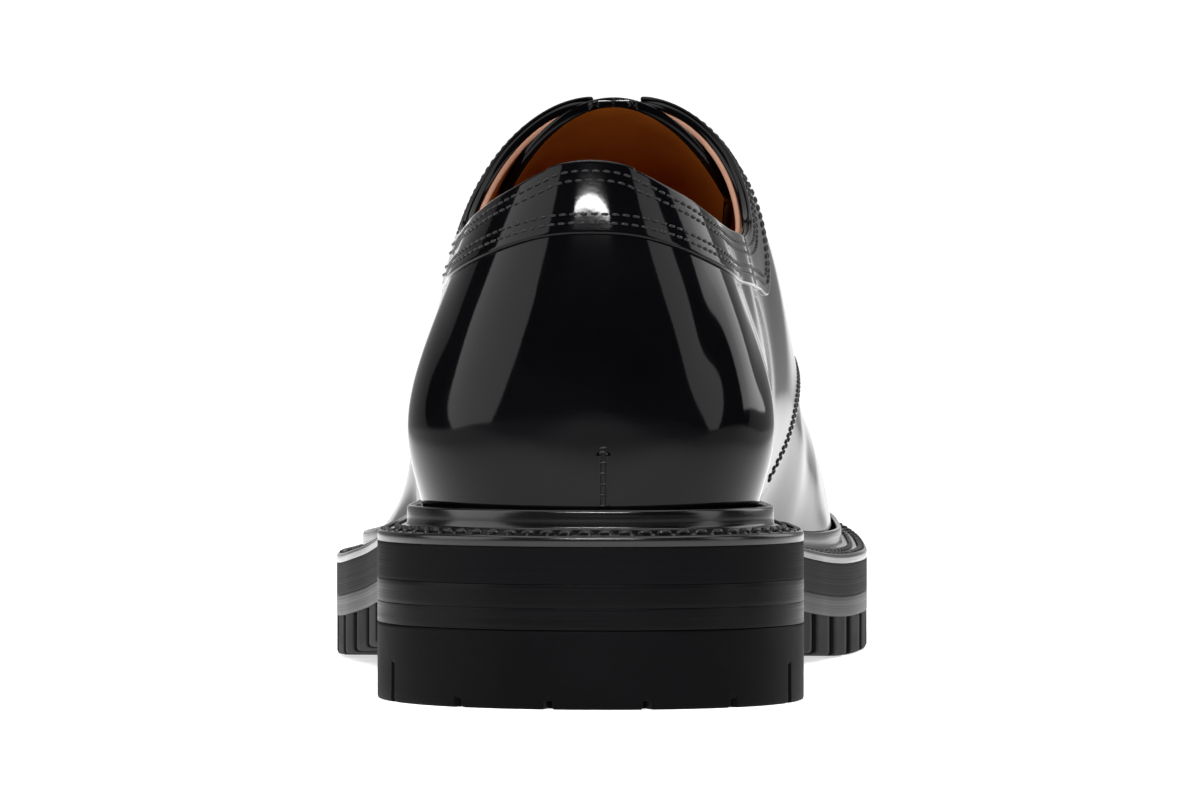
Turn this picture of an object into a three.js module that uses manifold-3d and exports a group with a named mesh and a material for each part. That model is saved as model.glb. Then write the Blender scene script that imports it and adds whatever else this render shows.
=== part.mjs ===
// A left derby shoe with a split toe, black polished leather on a lugged rubber sole.
// Millimetres. +Z is up, +Y runs to the toe, +X is the inner (medial) side of the foot.
// The origin is on the floor under the middle of the heel.
import * as THREE from "three";
import { mergeVertices } from "three/addons/utils/BufferGeometryUtils.js";
import Module from "manifold-3d";

const wasm = await Module();
wasm.setup();

// Driving dimensions of the sole.
const soleLength = 300;
const heelReach = 40; // from the origin back to the rear edge of the sole
const heelWidth = 77.5;
const ballWidth = 108.5;
const heelRoundness = 2.15; // 2 is an ellipse, more is squarer
const toeRoundness = 2.3;
const toeRun = 62; // length over which the plan closes round the toe
const heelBlockHeight = 14;
const heelLiftHeight = 3.8;
const outsoleThickness = 4.2;
const lugDepth = 8;
const midsoleThickness = 6.6;
const weltThickness = 3;
const toeSpring = 11;
const heelLength = 82; // from the rear edge to the heel's breast
const seam = 0.3; // clearance between pieces that meet

// Driving dimensions of the upper.
const instepHeight = 84; // crown of the instep above the feather line
const backHeight = 65; // topline above the heel seat, at the back seam
const weltReach = 7.2; // from the sole's edge in to the feather line of the vamp
const counterTuck = 2.3; // how much further in the feather lies under quarter and counter
const wall = 1.8; // vamp leather and lining
const quarterStep = 0.9; // quarter leather standing over the vamp
const bandStep = 0.6; // collar band standing over the quarter
const backSwell = 2.6; // how far the back curve stands out behind the feather
const backLean = 6; // how far the back curve comes in at the topline
const backPinch = 0.15; // share by which the back narrows towards the topline

// Driving dimensions of the toe's split.
const splitLength = 60; // from the toe's tip back along the vamp
const splitPlace = 6.5; // from the shoe's axis towards the inner side
const splitWidth = 4.6;
const splitPull = 20; // how far the two lobes part in plan at the feather
const splitFade = 8; // run-out behind the split
const splitWeb = 0.17; // share of the height left standing at the bottom of the split
const soleNotch = 9;
const soleNotchWidth = 5.8;

// Driving dimensions of the rib, throat, tongue, insole and lace.
const ribHeight = 3.4;
const ribThickness = 1.2;
const ribInset = 5.4;
const ribRound = 0.45;
const edgeRound = 1;
const edgeDrop = 1.3; // how far the welt's top slopes down to its edge
const throatEnd = 0.6; // share of the sole's length where the vamp closes the throat
const throatWidth = 9.5;
const facingEnd = 0.645; // share of the sole's length where the facings end
const tongueThickness = 2;
const tongueWidth = 50;
const tongueTop = 0.35; // share of the sole's length
const tongueFoot = 0.655;
const tongueRound = 12; // length over which its top end is rounded
const tongueSkirt = 0.4; // share of the crown's height that its sides keep above
const insoleEase = 0.6; // gap between the insole's edge and the welt
const laceDiameter = 3;
const laceRows = 5;
const laceStart = 0.43; // share of the sole's length where the top row lies
const eyeletSetback = 10.5; // from the throat's edge to the middle of a hole
const eyeletRadius = 2.1;

// Driving dimensions of the tread.
const lugBorder = 16; // width of the ring of lugs round the edge
const lugPitch = 15.5;
const slotWidth = 2.6;
const heelSlotWidth = 1.6;
const heelSlotDepth = 7;
const heelNotchLength = 4;
const heelNotchDepth = 1.6;
const heelSlotAngle = 26.6; // degrees between the cuts round the heel
const treadWell = 3.6; // depth of the tread inside the ring of lugs
const treadStart = 0.415; // share of the sole's length where the forefoot lugs begin
const studPitch = 23;
const studArm = 17;
const studWidth = 6;

const rearEdge = -heelReach;
const toeEdge = soleLength - heelReach;
const breast = heelLength - heelReach;
const tall = 400; // reach of the cutting prisms past the shoe
const weltBase = outsoleThickness + midsoleThickness;

// The plan. Centre is a share of the ball's width; heel and ball weigh the two widths.
const plan = [
  { along: 0.0, centre: 0.024, heel: 1.0, ball: 0.0 },
  { along: 0.133, centre: 0.0, heel: 1.0, ball: 0.0 },
  { along: 0.233, centre: -0.015, heel: 0.8, ball: 0.124 },
  { along: 0.333, centre: -0.037, heel: 0.5, ball: 0.34 },
  { along: 0.45, centre: -0.06, heel: 0.2, ball: 0.625 },
  { along: 0.55, centre: -0.065, heel: 0.0, ball: 0.892 },
  { along: 0.65, centre: -0.057, heel: 0.0, ball: 0.99 },
  { along: 0.733, centre: -0.043, heel: 0.0, ball: 1.0 },
  { along: 0.817, centre: -0.027, heel: 0.0, ball: 0.95 },
  { along: 0.9, centre: -0.008, heel: 0.0, ball: 0.88 },
  { along: 1.0, centre: 0.02, heel: 0.0, ball: 0.78 },
];

// The sections of the last. Crown is a share of the instep's height, and shoulder the exponent
// that squares the arch. Inner and outer swell each side low down, as shares of the half width.
// Belly fills the inner side halfway up and lean moves the crown, as shares of the ball's width.
// Tuck is a share of the counter's tuck.
const sections = [
  { along: 0.0, crown: 0.97, shoulder: 2.3, inner: 0.145, outer: 0.14, belly: 0, lean: -0.015, tuck: 1 },
  { along: 0.133, crown: 1.0, shoulder: 2.35, inner: 0.145, outer: 0.14, belly: 0, lean: 0.01, tuck: 1 },
  { along: 0.267, crown: 1.0, shoulder: 3.0, inner: 0.13, outer: 0.11, belly: 0.02, lean: 0.03, tuck: 0.9 },
  { along: 0.383, crown: 0.985, shoulder: 3.6, inner: 0.1, outer: 0.03, belly: 0.05, lean: 0.062, tuck: 0.7 },
  { along: 0.45, crown: 0.883, shoulder: 3.2, inner: 0.06, outer: -0.03, belly: 0.055, lean: 0.069, tuck: 0.5 },
  { along: 0.517, crown: 0.762, shoulder: 2.75, inner: 0.03, outer: -0.08, belly: 0.04, lean: 0.07, tuck: 0.3 },
  { along: 0.583, crown: 0.65, shoulder: 2.35, inner: 0, outer: -0.1, belly: 0.02, lean: 0.066, tuck: 0.1 },
  { along: 0.65, crown: 0.565, shoulder: 2.1, inner: -0.02, outer: -0.12, belly: 0.01, lean: 0.063, tuck: 0 },
  { along: 0.717, crown: 0.49, shoulder: 2.05, inner: -0.02, outer: -0.11, belly: 0, lean: 0.058, tuck: 0 },
  { along: 0.783, crown: 0.43, shoulder: 2.1, inner: -0.01, outer: -0.08, belly: 0, lean: 0.05, tuck: 0 },
  { along: 0.85, crown: 0.385, shoulder: 2.3, inner: 0, outer: -0.04, belly: 0, lean: 0.04, tuck: 0 },
  { along: 0.917, crown: 0.355, shoulder: 2.5, inner: 0.01, outer: 0, belly: 0, lean: 0.03, tuck: 0 },
  { along: 1.0, crown: 0.33, shoulder: 2.6, inner: 0.01, outer: 0.01, belly: 0, lean: 0.02, tuck: 0 },
];
const toeBoxRun = 38; // length over which the crown comes down to the toe's tip
const toeBoxRoundness = 2.5;

// Side view of the topline: back and instep weigh the two heights above the heel seat.
const topline = [
  { along: 0.0, back: 1.0, instep: 0.0 },
  { along: 0.03, back: 0.996, instep: 0.0 },
  { along: 0.05, back: 0.935, instep: 0.0 },
  { along: 0.07, back: 0.897, instep: 0.0 },
  { along: 0.1, back: 0.854, instep: 0.0 },
  { along: 0.133, back: 0.837, instep: 0.0 },
  { along: 0.2, back: 0.811, instep: 0.0 },
  { along: 0.25, back: 0.803, instep: 0.0 },
  { along: 0.29, back: 0.76, instep: 0.04 },
  { along: 0.32, back: 0.62, instep: 0.185 },
  { along: 0.347, back: 0.36, instep: 0.48 },
  { along: 0.368, back: 0.13, instep: 0.78 },
  { along: 0.385, back: 0.0, instep: 0.97 },
];

// Side view of the collar band: its lower edge to the low corner, then its front edge up.
const bandEdge = [
  { along: 0.0, back: 0.83, instep: 0.0 },
  { along: 0.03, back: 0.806, instep: 0.0 },
  { along: 0.05, back: 0.77, instep: 0.0 },
  { along: 0.07, back: 0.738, instep: 0.0 },
  { along: 0.1, back: 0.704, instep: 0.0 },
  { along: 0.133, back: 0.684, instep: 0.0 },
  { along: 0.2, back: 0.671, instep: 0.0 },
  { along: 0.285, back: 0.66, instep: 0.0 },
  { along: 0.325, back: 0.645, instep: 0.0 },
  { along: 0.345, back: 0.5, instep: 0.15 },
  { along: 0.36, back: 0.3, instep: 0.37 },
  { along: 0.38, back: 0.15, instep: 0.6 },
  { along: 0.41, back: 0.05, instep: 0.82 },
  { along: 0.44, back: 0.0, instep: 1.0 },
];

// Side view of the quarter's front edge, from the waist of the sole up to the facing's end.
const quarterEdge = [
  { along: 0.39, back: 0.0, instep: -0.3 },
  { along: 0.41, back: 0.0, instep: 0.02 },
  { along: 0.437, back: 0.0, instep: 0.14 },
  { along: 0.483, back: 0.0, instep: 0.25 },
  { along: 0.54, back: 0.0, instep: 0.325 },
  { along: 0.6, back: 0.0, instep: 0.375 },
  { along: 0.632, back: 0.0, instep: 0.42 },
  { along: 0.645, back: 0.0, instep: 0.5 },
];

// A column of a table at a share along the shoe, as a smooth curve through its rows.
function column(table, name, along) {
  const end = table.length - 1;
  const at = THREE.MathUtils.clamp(along, table[0].along, table[end].along);
  let i = 0;
  while (i < end - 1 && at > table[i + 1].along) i += 1;
  const slope = (k) => {
    const before = table[Math.max(k - 1, 0)];
    const after = table[Math.min(k + 1, end)];
    return (after[name] - before[name]) / (after.along - before.along);
  };
  const run = table[i + 1].along - table[i].along;
  const s = (at - table[i].along) / run;
  const rise = (3 - 2 * s) * s * s;
  return (
    table[i][name] * (1 - rise) +
    table[i + 1][name] * rise +
    run * slope(i) * s * (1 - s) * (1 - s) -
    run * slope(i + 1) * s * s * (1 - s)
  );
}

const share = (y) => (y + heelReach) / soleLength;
const place = (along) => along * soleLength - heelReach;
const bell = (distance, width) => Math.exp(-((distance / width) ** 2));

// The underside of the outsole's plate in side view: heel, waist, ball and toe spring.
const waistStart = 0.217;
const waistEnd = 0.64;
const springStart = 0.707;
function rise(y) {
  const heelTop = heelBlockHeight + heelLiftHeight;
  const fall = THREE.MathUtils.smoothstep(share(y), waistStart, waistEnd);
  const spring = Math.max(0, (share(y) - springStart) / (1 - springStart));
  return heelTop + (lugDepth - heelTop) * fall + toeSpring * spring * spring;
}
const seat = (y) => rise(y) + weltBase + weltThickness;
const feather = (y) => seat(y) + seam;

// How much of its full width the plan keeps at a distance from an end.
function closing(distance, run, roundness) {
  const left = THREE.MathUtils.clamp(1 - distance / run, 0, 1);
  return (1 - left ** roundness) ** (1 / roundness);
}
const centre = (y) => column(plan, "centre", share(y)) * ballWidth;
function fullHalfWidth(y) {
  const heel = column(plan, "heel", share(y)) * heelWidth;
  return (heel + column(plan, "ball", share(y)) * ballWidth) / 2;
}
function halfWidth(y, inset) {
  const heelEnd = closing(y - rearEdge - inset, heelReach - inset, heelRoundness);
  const toeEnd = closing(toeEdge - inset - y, toeRun - inset, toeRoundness);
  return (fullHalfWidth(y) - inset) * heelEnd * toeEnd;
}
const featherInset = (y) => weltReach + counterTuck * column(sections, "tuck", share(y));

// Stations along the plan, close together where it turns round its ends.
function stations(inset, heelSteps, trunkSteps, toeWidths) {
  const distance = (width, run, roundness) =>
    (run - inset) * (1 - (1 - width ** roundness) ** (1 / roundness));
  const list = [];
  for (let i = 0; i < heelSteps; i += 1) {
    const width = Math.sin((Math.PI / 2) * ((i + 0.5) / heelSteps));
    list.push(rearEdge + inset + distance(width, heelReach, heelRoundness));
  }
  const trunk = toeEdge - toeRun;
  for (let i = 0; i <= trunkSteps; i += 1) list.push((trunk * i) / trunkSteps);
  for (const width of toeWidths)
    list.push(toeEdge - inset - distance(width, toeRun, toeRoundness));
  return list;
}

// How far back the front of the plan is drawn in beside the split.
function parted(x, y, depth, width) {
  const ramp = THREE.MathUtils.smoothstep(y, toeEdge - 2.4 * splitPull, toeEdge - 0.2 * splitPull);
  return y - depth * bell(x - splitPlace, width) * ramp;
}

// The closed outline of a layer, from the toe round the outer side, heel and inner side.
const toeSteps = [0.999, 0.96, 0.88, 0.77, 0.64, 0.52, 0.42, 0.34, 0.27, 0.21, 0.15, 0.09, 0.03];
function outline(insetAt, notch, notchWidth, heelSteps = 8, trunkSteps = 12) {
  const points = [];
  const list = stations(insetAt(0), heelSteps, trunkSteps, toeSteps);
  for (const side of [-1, 1])
    for (const y of side < 0 ? [...list].reverse() : list) {
      const inset = insetAt(y);
      const x = centre(y) + side * halfWidth(y, inset);
      points.push(new THREE.Vector2(x, parted(x, y, notch, notchWidth)));
    }
  return points;
}
const edgeOutline = (inset = 0) => outline(() => inset, soleNotch, soleNotchWidth);
const holeOutline = () => outline(() => ribInset * 2.5, splitPull, splitWidth);

// Solids from three.js geometry, joined and cut by the boolean library.
function toSolid(geometry) {
  const bare = new THREE.BufferGeometry();
  bare.setAttribute("position", geometry.getAttribute("position").clone());
  if (geometry.index) bare.setIndex(geometry.index.clone());
  const merged = mergeVertices(bare, 1e-4);
  return new wasm.Manifold(
    new wasm.Mesh({
      numProp: 3,
      vertProperties: merged.attributes.position.array,
      triVerts: new Uint32Array(merged.index.array),
    }),
  );
}
function toGeometry(solid) {
  const mesh = solid.getMesh();
  const geometry = new THREE.BufferGeometry();
  geometry.setAttribute("position", new THREE.BufferAttribute(mesh.vertProperties, 3));
  geometry.setIndex(new THREE.BufferAttribute(mesh.triVerts, 1));
  return geometry;
}
const largest = (solid) => solid.decompose().sort((a, b) => b.volume() - a.volume())[0];
const extrude = (points, depth) =>
  new THREE.ExtrudeGeometry(new THREE.Shape(points), { depth, bevelEnabled: false });
const prismUp = (points) => toSolid(extrude(points, tall).translate(0, 0, -tall / 2));
const sideAxes = new THREE.Matrix4().makeBasis(
  new THREE.Vector3(0, 1, 0),
  new THREE.Vector3(0, 0, 1),
  new THREE.Vector3(1, 0, 0),
);
const prismAcross = (points) =>
  toSolid(extrude(points, tall).translate(0, 0, -tall / 2).applyMatrix4(sideAxes));

// A slab across the shoe between two side-view curves.
const slabSteps = 20;
const margin = heelReach / 8; // reach of a slab past the sole
function slab(low, high, from = rearEdge - margin, to = toeEdge + margin) {
  const points = [];
  for (let i = 0; i <= slabSteps; i += 1) {
    const y = from + ((to - from) * i) / slabSteps;
    points.push(new THREE.Vector2(y, low(y)));
  }
  for (let i = slabSteps; i >= 0; i -= 1) {
    const y = from + ((to - from) * i) / slabSteps;
    points.push(new THREE.Vector2(y, high(y)));
  }
  return prismAcross(points);
}
const plate = (points, low, high) => prismUp(points).intersect(slab(low, high));

// A box with its middle at (x, y), turned about Z, between two heights.
function block(x, y, length, width, low, high, angle = 0) {
  const box = new THREE.BoxGeometry(length, width, high - low);
  box.rotateZ(angle).translate(x, y, (low + high) / 2);
  return toSolid(box);
}

// The last's surface at a place along the shoe and an angle round its section, from the outer
// feather (0) over the crown to the inner feather (pi).
function lastPoint(y, angle) {
  const along = share(y);
  const half = halfWidth(y, featherInset(y));
  const toeEnd = closing(toeEdge - featherInset(y) - y, toeBoxRun, toeBoxRoundness);
  const crown = column(sections, "crown", along) * instepHeight * toeEnd;
  const lift = Math.sin(angle) ** (2 / column(sections, "shoulder", along));
  const swell = (65536 / 729) * lift ** 2 * (1 - lift) ** 6; // 1 at a quarter of the height
  const isInner = angle > Math.PI / 2;
  const side = -Math.cos(angle) * (1 + column(sections, isInner ? "inner" : "outer", along) * swell);
  const belly = isInner ? 4 * column(sections, "belly", along) * lift * (1 - lift) : 0;
  const shift = belly + column(sections, "lean", along) * lift ** 1.5;
  const up = (crown * lift) / backHeight;
  const rear = 1 - THREE.MathUtils.smoothstep(y, -0.125 * heelReach, 0.875 * heelReach);
  const x = centre(y) + half * side * (1 - backPinch * up * up * rear) + ballWidth * shift;
  const backward = 1 - THREE.MathUtils.smoothstep(y, rearEdge, heelReach / 2);
  const shifted = y + backward * (backLean * up * up - 4 * backSwell * up * Math.max(0, 1 - up));
  const front = parted(x, shifted, splitPull, splitWidth);
  const groove =
    bell(x - splitPlace, splitWidth) *
    THREE.MathUtils.smoothstep(y, toeEdge - splitLength - splitFade, toeEdge - splitLength / 2);
  return new THREE.Vector3(x, front, feather(front) + crown * lift * (1 - (1 - splitWeb) * groove));
}

// The same point moved out along the surface's normal.
function lastOffset(y, angle, offset) {
  const step = soleLength / 15000;
  const low = rearEdge + featherInset(y) + 2 * step;
  const high = toeEdge - featherInset(y) - 2 * step;
  const at = THREE.MathUtils.clamp(y, low, high);
  const ahead = lastPoint(Math.min(at + step, high), angle);
  const alongLine = ahead.sub(lastPoint(Math.max(at - step, low), angle));
  const round = lastPoint(at, Math.min(angle + step, Math.PI));
  const roundLine = round.sub(lastPoint(at, Math.max(angle - step, 0)));
  const normal = alongLine.cross(roundLine).normalize();
  const point = lastPoint(at, angle).addScaledVector(normal, -offset);
  const bottom = feather(point.y);
  if (angle === 0 || angle === Math.PI || point.z < bottom) point.z = bottom;
  return point;
}

// Angles round a section, close together at the feather and over the split.
const sideSteps = 11;
function sectionAngles(y) {
  const half = halfWidth(y, featherInset(y));
  const offset = (splitPlace - centre(y) - column(sections, "lean", share(y)) * ballWidth) / half;
  const middle = Math.acos(THREE.MathUtils.clamp(-offset, -0.6, 0.6));
  const angles = [];
  for (let i = 0; i <= sideSteps; i += 1) {
    const s = i / sideSteps;
    angles.push(middle * THREE.MathUtils.lerp(s, THREE.MathUtils.smoothstep(s, 0, 1), 0.7));
  }
  const mirrored = angles.slice(0, -1).map((angle) => (angle * (Math.PI - middle)) / middle);
  return angles.concat(mirrored.reverse().map((angle) => Math.PI - angle));
}

// The loops of points round the last, moved out by an offset, from heel to toe.
const sectionToeWidths = [0.99, 0.94, 0.85, 0.74, 0.6, 0.46, 0.34];
function lastLoops(offset) {
  const rows = stations(weltReach + counterTuck, 6, 14, []).concat(
    stations(weltReach, 0, 1, sectionToeWidths).slice(2),
  );
  return rows.map((y) => sectionAngles(y).map((angle) => lastOffset(y, angle, offset)));
}

// Everything above and below the outline that the last has at its feather.
function footprint(offset) {
  const loops = lastLoops(offset);
  const outer = loops.map((loop) => loop[0]);
  const inner = loops.map((loop) => loop[loop.length - 1]).reverse();
  const left = outer[outer.length - 1].x + wall;
  const right = inner[0].x - wall;
  const front = loops[loops.length - 1].filter((p) => p.x > left && p.x < right);
  const line = [...outer, ...front, ...inner];
  return prismUp(line.map((p) => new THREE.Vector2(p.x, p.y)));
}

// A closed solid of the last, moved out by an offset.
function lastSolid(offset) {
  const loops = lastLoops(offset);
  const points = [];
  const count = loops[0].length;
  for (const loop of loops) points.push(...loop);
  const faces = [];
  for (let r = 0; r + 1 < loops.length; r += 1)
    for (let i = 0; i < count; i += 1) {
      const a = r * count + i;
      const b = r * count + ((i + 1) % count);
      faces.push(a, b, b + count, a, b + count, a + count);
    }
  for (const r of [0, loops.length - 1]) {
    const cap = [];
    for (let i = 0; i < sideSteps; i += 1) {
      const [a, b, c, d] = [i, i + 1, count - 2 - i, count - 1 - i].map((k) => r * count + k);
      cap.push(a, b, d);
      if (b !== c) cap.push(b, c, d);
    }
    faces.push(...(r === 0 ? cap.reverse() : cap));
  }
  const geometry = new THREE.BufferGeometry().setFromPoints(points);
  geometry.setIndex(faces);
  return toSolid(geometry);
}

// The line of the crown, which the throat and the tongue follow.
const crownLine = (y) => centre(y) + column(sections, "lean", share(y)) * ballWidth;

// A strip along the crown in plan, its half width a function of the place.
function crownStrip(from, to, halfAt, steps = 10) {
  const left = [];
  const right = [];
  for (let i = 0; i <= steps; i += 1) {
    const y = from + ((to - from) * i) / steps;
    left.push(new THREE.Vector2(crownLine(y) - halfAt(y), y));
    right.push(new THREE.Vector2(crownLine(y) + halfAt(y), y));
  }
  return prismUp([...left, ...right.reverse()]);
}

// The part of the shoe above a side-view edge and behind its front end.
function aboveEdge(table, steps) {
  const points = [];
  const first = table[0].along;
  const span = table[table.length - 1].along - first;
  for (let i = 0; i <= steps; i += 1) {
    const along = first + (span * i) / steps;
    const high =
      column(table, "back", along) * backHeight + column(table, "instep", along) * instepHeight;
    points.push(new THREE.Vector2(place(along), high + seat(0)));
  }
  const start = points[0];
  points.push(new THREE.Vector2(points[steps].x, tall));
  points.push(new THREE.Vector2(rearEdge - tall / 4, tall));
  points.push(new THREE.Vector2(rearEdge - tall / 4, start.y));
  return prismAcross(points);
}

// Half the throat's gap, narrowing to a round end.
const throatFrom = place(0.3);
const throatTo = place(throatEnd);
function throatHalf(y) {
  const taper = THREE.MathUtils.lerp(1, 0.75, (y - throatFrom) / (throatTo - throatFrom));
  return (throatWidth / 2) * taper * closing(throatTo - y, throatWidth / 2, 2) + 0.05;
}
const facingHalf = (y) => (throatWidth / 2) * THREE.MathUtils.lerp(1, 0.85, share(y));

// Where the lace goes through: the rows of holes down the two facings.
const laceRowPlaces = Array.from({ length: laceRows }, (_, i) =>
  THREE.MathUtils.lerp(place(laceStart), place(facingEnd) - eyeletSetback, i / (laceRows - 1)),
);
function angleAt(y, x) {
  let low = 0.2;
  let high = Math.PI - 0.2;
  for (let i = 0; i < 30; i += 1) {
    const middle = (low + high) / 2;
    if (lastPoint(y, middle).x < x) low = middle;
    else high = middle;
  }
  return (low + high) / 2;
}
function eyeletAngles(y) {
  const reach = facingHalf(y) + eyeletSetback * 0.86;
  return [-1, 1].map((side) => angleAt(y, crownLine(y) + side * reach));
}
const eyeletSides = 10;
function eyeletCutter(y, angle) {
  const inside = lastOffset(y, angle, -wall * 3);
  const outside = lastOffset(y, angle, wall * 3);
  const pin = new THREE.CylinderGeometry(
    eyeletRadius,
    eyeletRadius,
    inside.distanceTo(outside),
    eyeletSides,
  );
  const axis = outside.clone().sub(inside).normalize();
  pin.applyQuaternion(new THREE.Quaternion().setFromUnitVectors(THREE.Object3D.DEFAULT_UP, axis));
  pin.translate(...inside.add(outside).multiplyScalar(0.5).toArray());
  return toSolid(pin);
}

// Upper: vamp, quarters and collar band as steps of one wall, open at collar, throat and sole.
function makeUpper() {
  const facingGap = crownStrip(throatFrom, place(facingEnd + 0.07), facingHalf);
  const quarters = lastSolid(quarterStep)
    .intersect(aboveEdge(quarterEdge, 18))
    .subtract(facingGap);
  const band = lastSolid(quarterStep + bandStep)
    .intersect(aboveEdge(bandEdge, 22))
    .subtract(facingGap);
  let upper = lastSolid(0).add(quarters).add(band);
  const opening = slab((y) => feather(y) - wall, (y) => feather(y) + seam);
  upper = upper.subtract(lastSolid(-wall)).subtract(footprint(-wall).intersect(opening));
  upper = upper.subtract(aboveEdge(topline, 24));
  upper = upper.subtract(crownStrip(throatFrom, throatTo, throatHalf, 12));
  for (const y of laceRowPlaces)
    for (const angle of eyeletAngles(y)) upper = upper.subtract(eyeletCutter(y, angle));
  return largest(upper);
}

// Tongue: a curved sheet just under the upper, its top edge rounded.
function makeTongue() {
  const outer = lastSolid(-wall - seam);
  const inner = lastSolid(-wall - seam - tongueThickness);
  const from = place(tongueTop);
  const to = place(tongueFoot);
  const half = (y) => {
    const taper = THREE.MathUtils.lerp(1, 0.8, (y - from) / (to - from));
    return (tongueWidth / 2) * taper * closing(y - from + tongueRound / 15, tongueRound, 2);
  };
  const low = (y) => feather(y) + tongueSkirt * column(sections, "crown", share(y)) * instepHeight;
  const upperPart = slab(low, () => tall / 2);
  return largest(outer.subtract(inner).intersect(crownStrip(from, to, half, 14)).intersect(upperPart));
}

// Insole: fills the welt's ring, from the midsole up to the upper's bottom edge.
function makeInsole() {
  const layer = slab((y) => rise(y) + weltBase + seam, seat);
  return footprint(-wall - insoleEase).intersect(layer);
}

// Welt: a ring with a sloped, stitched top and a rib standing against the upper.
function makeWelt() {
  const hole = holeOutline();
  const at = (inset) => edgeOutline(inset);
  const columns = [
    { line: at(0), height: -weltThickness + seam },
    { line: at(0), height: -edgeDrop },
    { line: at(edgeRound), height: -edgeDrop * 0.55 },
    { line: at(ribInset), height: 0 },
    { line: at(ribInset + ribThickness * 0.1), height: ribHeight - ribRound },
    { line: at(ribInset + ribThickness * 0.5), height: ribHeight },
    { line: at(ribInset + ribThickness), height: ribHeight - ribRound },
    { line: at(ribInset + ribThickness), height: 0 },
    { line: hole, height: 0 },
    { line: hole, height: -weltThickness + seam },
  ];
  const points = [];
  const faces = [];
  const around = hole.length;
  const across = columns.length;
  for (let i = 0; i < around; i += 1)
    for (const { line, height } of columns)
      points.push(new THREE.Vector3(line[i].x, line[i].y, seat(line[i].y) + height));
  for (let i = 0; i < around; i += 1)
    for (let j = 0; j < across; j += 1) {
      const a = i * across + j;
      const b = i * across + ((j + 1) % across);
      const c = ((i + 1) % around) * across + ((j + 1) % across);
      const d = ((i + 1) % around) * across + j;
      faces.push(a, c, b, a, d, c);
    }
  const geometry = new THREE.BufferGeometry().setFromPoints(points);
  geometry.setIndex(faces);
  const ring = toSolid(geometry);
  return ring.subtract(footprint(-wall)).subtract(lastSolid(seam * 1.5));
}

const makeMidsole = () =>
  plate(edgeOutline(), (y) => rise(y) + outsoleThickness, (y) => rise(y) + weltBase - seam);

// Places at equal steps along the edge, with the direction that points inwards.
function edgeSteps(pitch, keep) {
  const points = outline(() => 0, 0, 1, 12, 20);
  const found = [];
  let left = pitch / 2;
  for (let i = 0; i < points.length; i += 1) {
    const a = points[i];
    const b = points[(i + 1) % points.length];
    const run = a.distanceTo(b);
    let at = left;
    for (; at < run; at += pitch) {
      const p = a.clone().lerp(b, at / run);
      const angle = Math.atan2(b.y - a.y, b.x - a.x) + Math.PI / 2;
      if (keep(p)) found.push({ x: p.x, y: p.y, angle });
    }
    left = at - run;
  }
  return found;
}

// Outsole: a plate the whole length, with a ring of lugs and a row of studs at the forefoot.
function makeOutsole() {
  const start = place(treadStart);
  const over = (y) => rise(y) + outsoleThickness / 2;
  const ground = (y) => rise(y) - lugDepth;
  const tread = prismUp(edgeOutline()).intersect(slab(ground, over, start));
  let lugs = tread.subtract(prismUp(edgeOutline(lugBorder * 0.98)));
  const well = prismUp(edgeOutline(lugBorder));
  const bed = slab((y) => ground(y) + treadWell, over, start);
  for (const { x, y, angle } of edgeSteps(lugPitch, (p) => p.y > start + lugPitch / 2))
    lugs = lugs.subtract(block(x, y, lugBorder * 2, slotWidth, -lugDepth, tall / 2, angle));
  lugs = lugs.add(well.intersect(bed));
  for (let y = start + studPitch / 2; y < toeEdge - lugBorder - studArm / 2; y += studPitch)
    for (const turn of [Math.PI / 4, -Math.PI / 4]) {
      const bar = block(centre(y), y, studArm, studWidth, -lugDepth, tall / 2, turn);
      lugs = lugs.add(tread.intersect(bar));
    }
  const base = plate(edgeOutline(), rise, (y) => rise(y) + outsoleThickness - seam);
  return base.add(lugs.intersect(slab(ground, over)));
}

// The heel's plan, cut straight across at the breast.
const heelPrism = () =>
  prismUp(edgeOutline()).intersect(block(0, breast - tall / 2, tall, tall, -tall / 2, tall / 2));
function makeHeelLift() {
  const layer = slab(() => heelBlockHeight, (y) => rise(y) - seam, rearEdge - margin, breast + margin);
  return heelPrism().intersect(layer);
}

// Heel block: rubber, hollowed under its middle, with slots round the sides and back.
function makeHeelBlock() {
  const whole = heelPrism().intersect(slab(() => 0, () => heelBlockHeight - seam));
  const middle = (rearEdge + breast) / 2;
  const hollow = prismUp(edgeOutline(lugBorder)).intersect(
    block(0, middle, tall, heelLength - 2 * lugBorder, -treadWell, treadWell),
  );
  let heel = whole.subtract(hollow);
  const turn = Math.atan2(centre(rearEdge), heelReach);
  for (const step of [-2.5, -1.5, -0.5, 0.5, 1.5, 2.5]) {
    const angle = turn - Math.PI / 2 + THREE.MathUtils.degToRad(step * heelSlotAngle);
    const deep = Math.abs(step) > 2;
    const reach = heelReach - (deep ? lugBorder / 2 : 0);
    const x = Math.cos(angle) * reach;
    const y = Math.sin(angle) * reach;
    const length = deep ? lugBorder * 1.5 : heelNotchLength * 2;
    const depth = deep ? heelSlotDepth : heelNotchDepth;
    heel = heel.subtract(block(x, y, length, heelSlotWidth, -depth, depth, angle));
  }
  for (let y = lugPitch * 0.35; y < breast - lugPitch / 2; y += lugPitch)
    for (const side of [-1, 1]) {
      const x = centre(y) + side * halfWidth(y, lugBorder / 2);
      const slot = block(x, y, lugBorder * 1.5, heelSlotWidth, -heelSlotDepth, heelSlotDepth);
      heel = heel.subtract(slot);
    }
  const stud = block(0, 0, studArm, studArm, 0, heelBlockHeight / 2, Math.PI / 4);
  return heel.add(stud);
}

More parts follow.
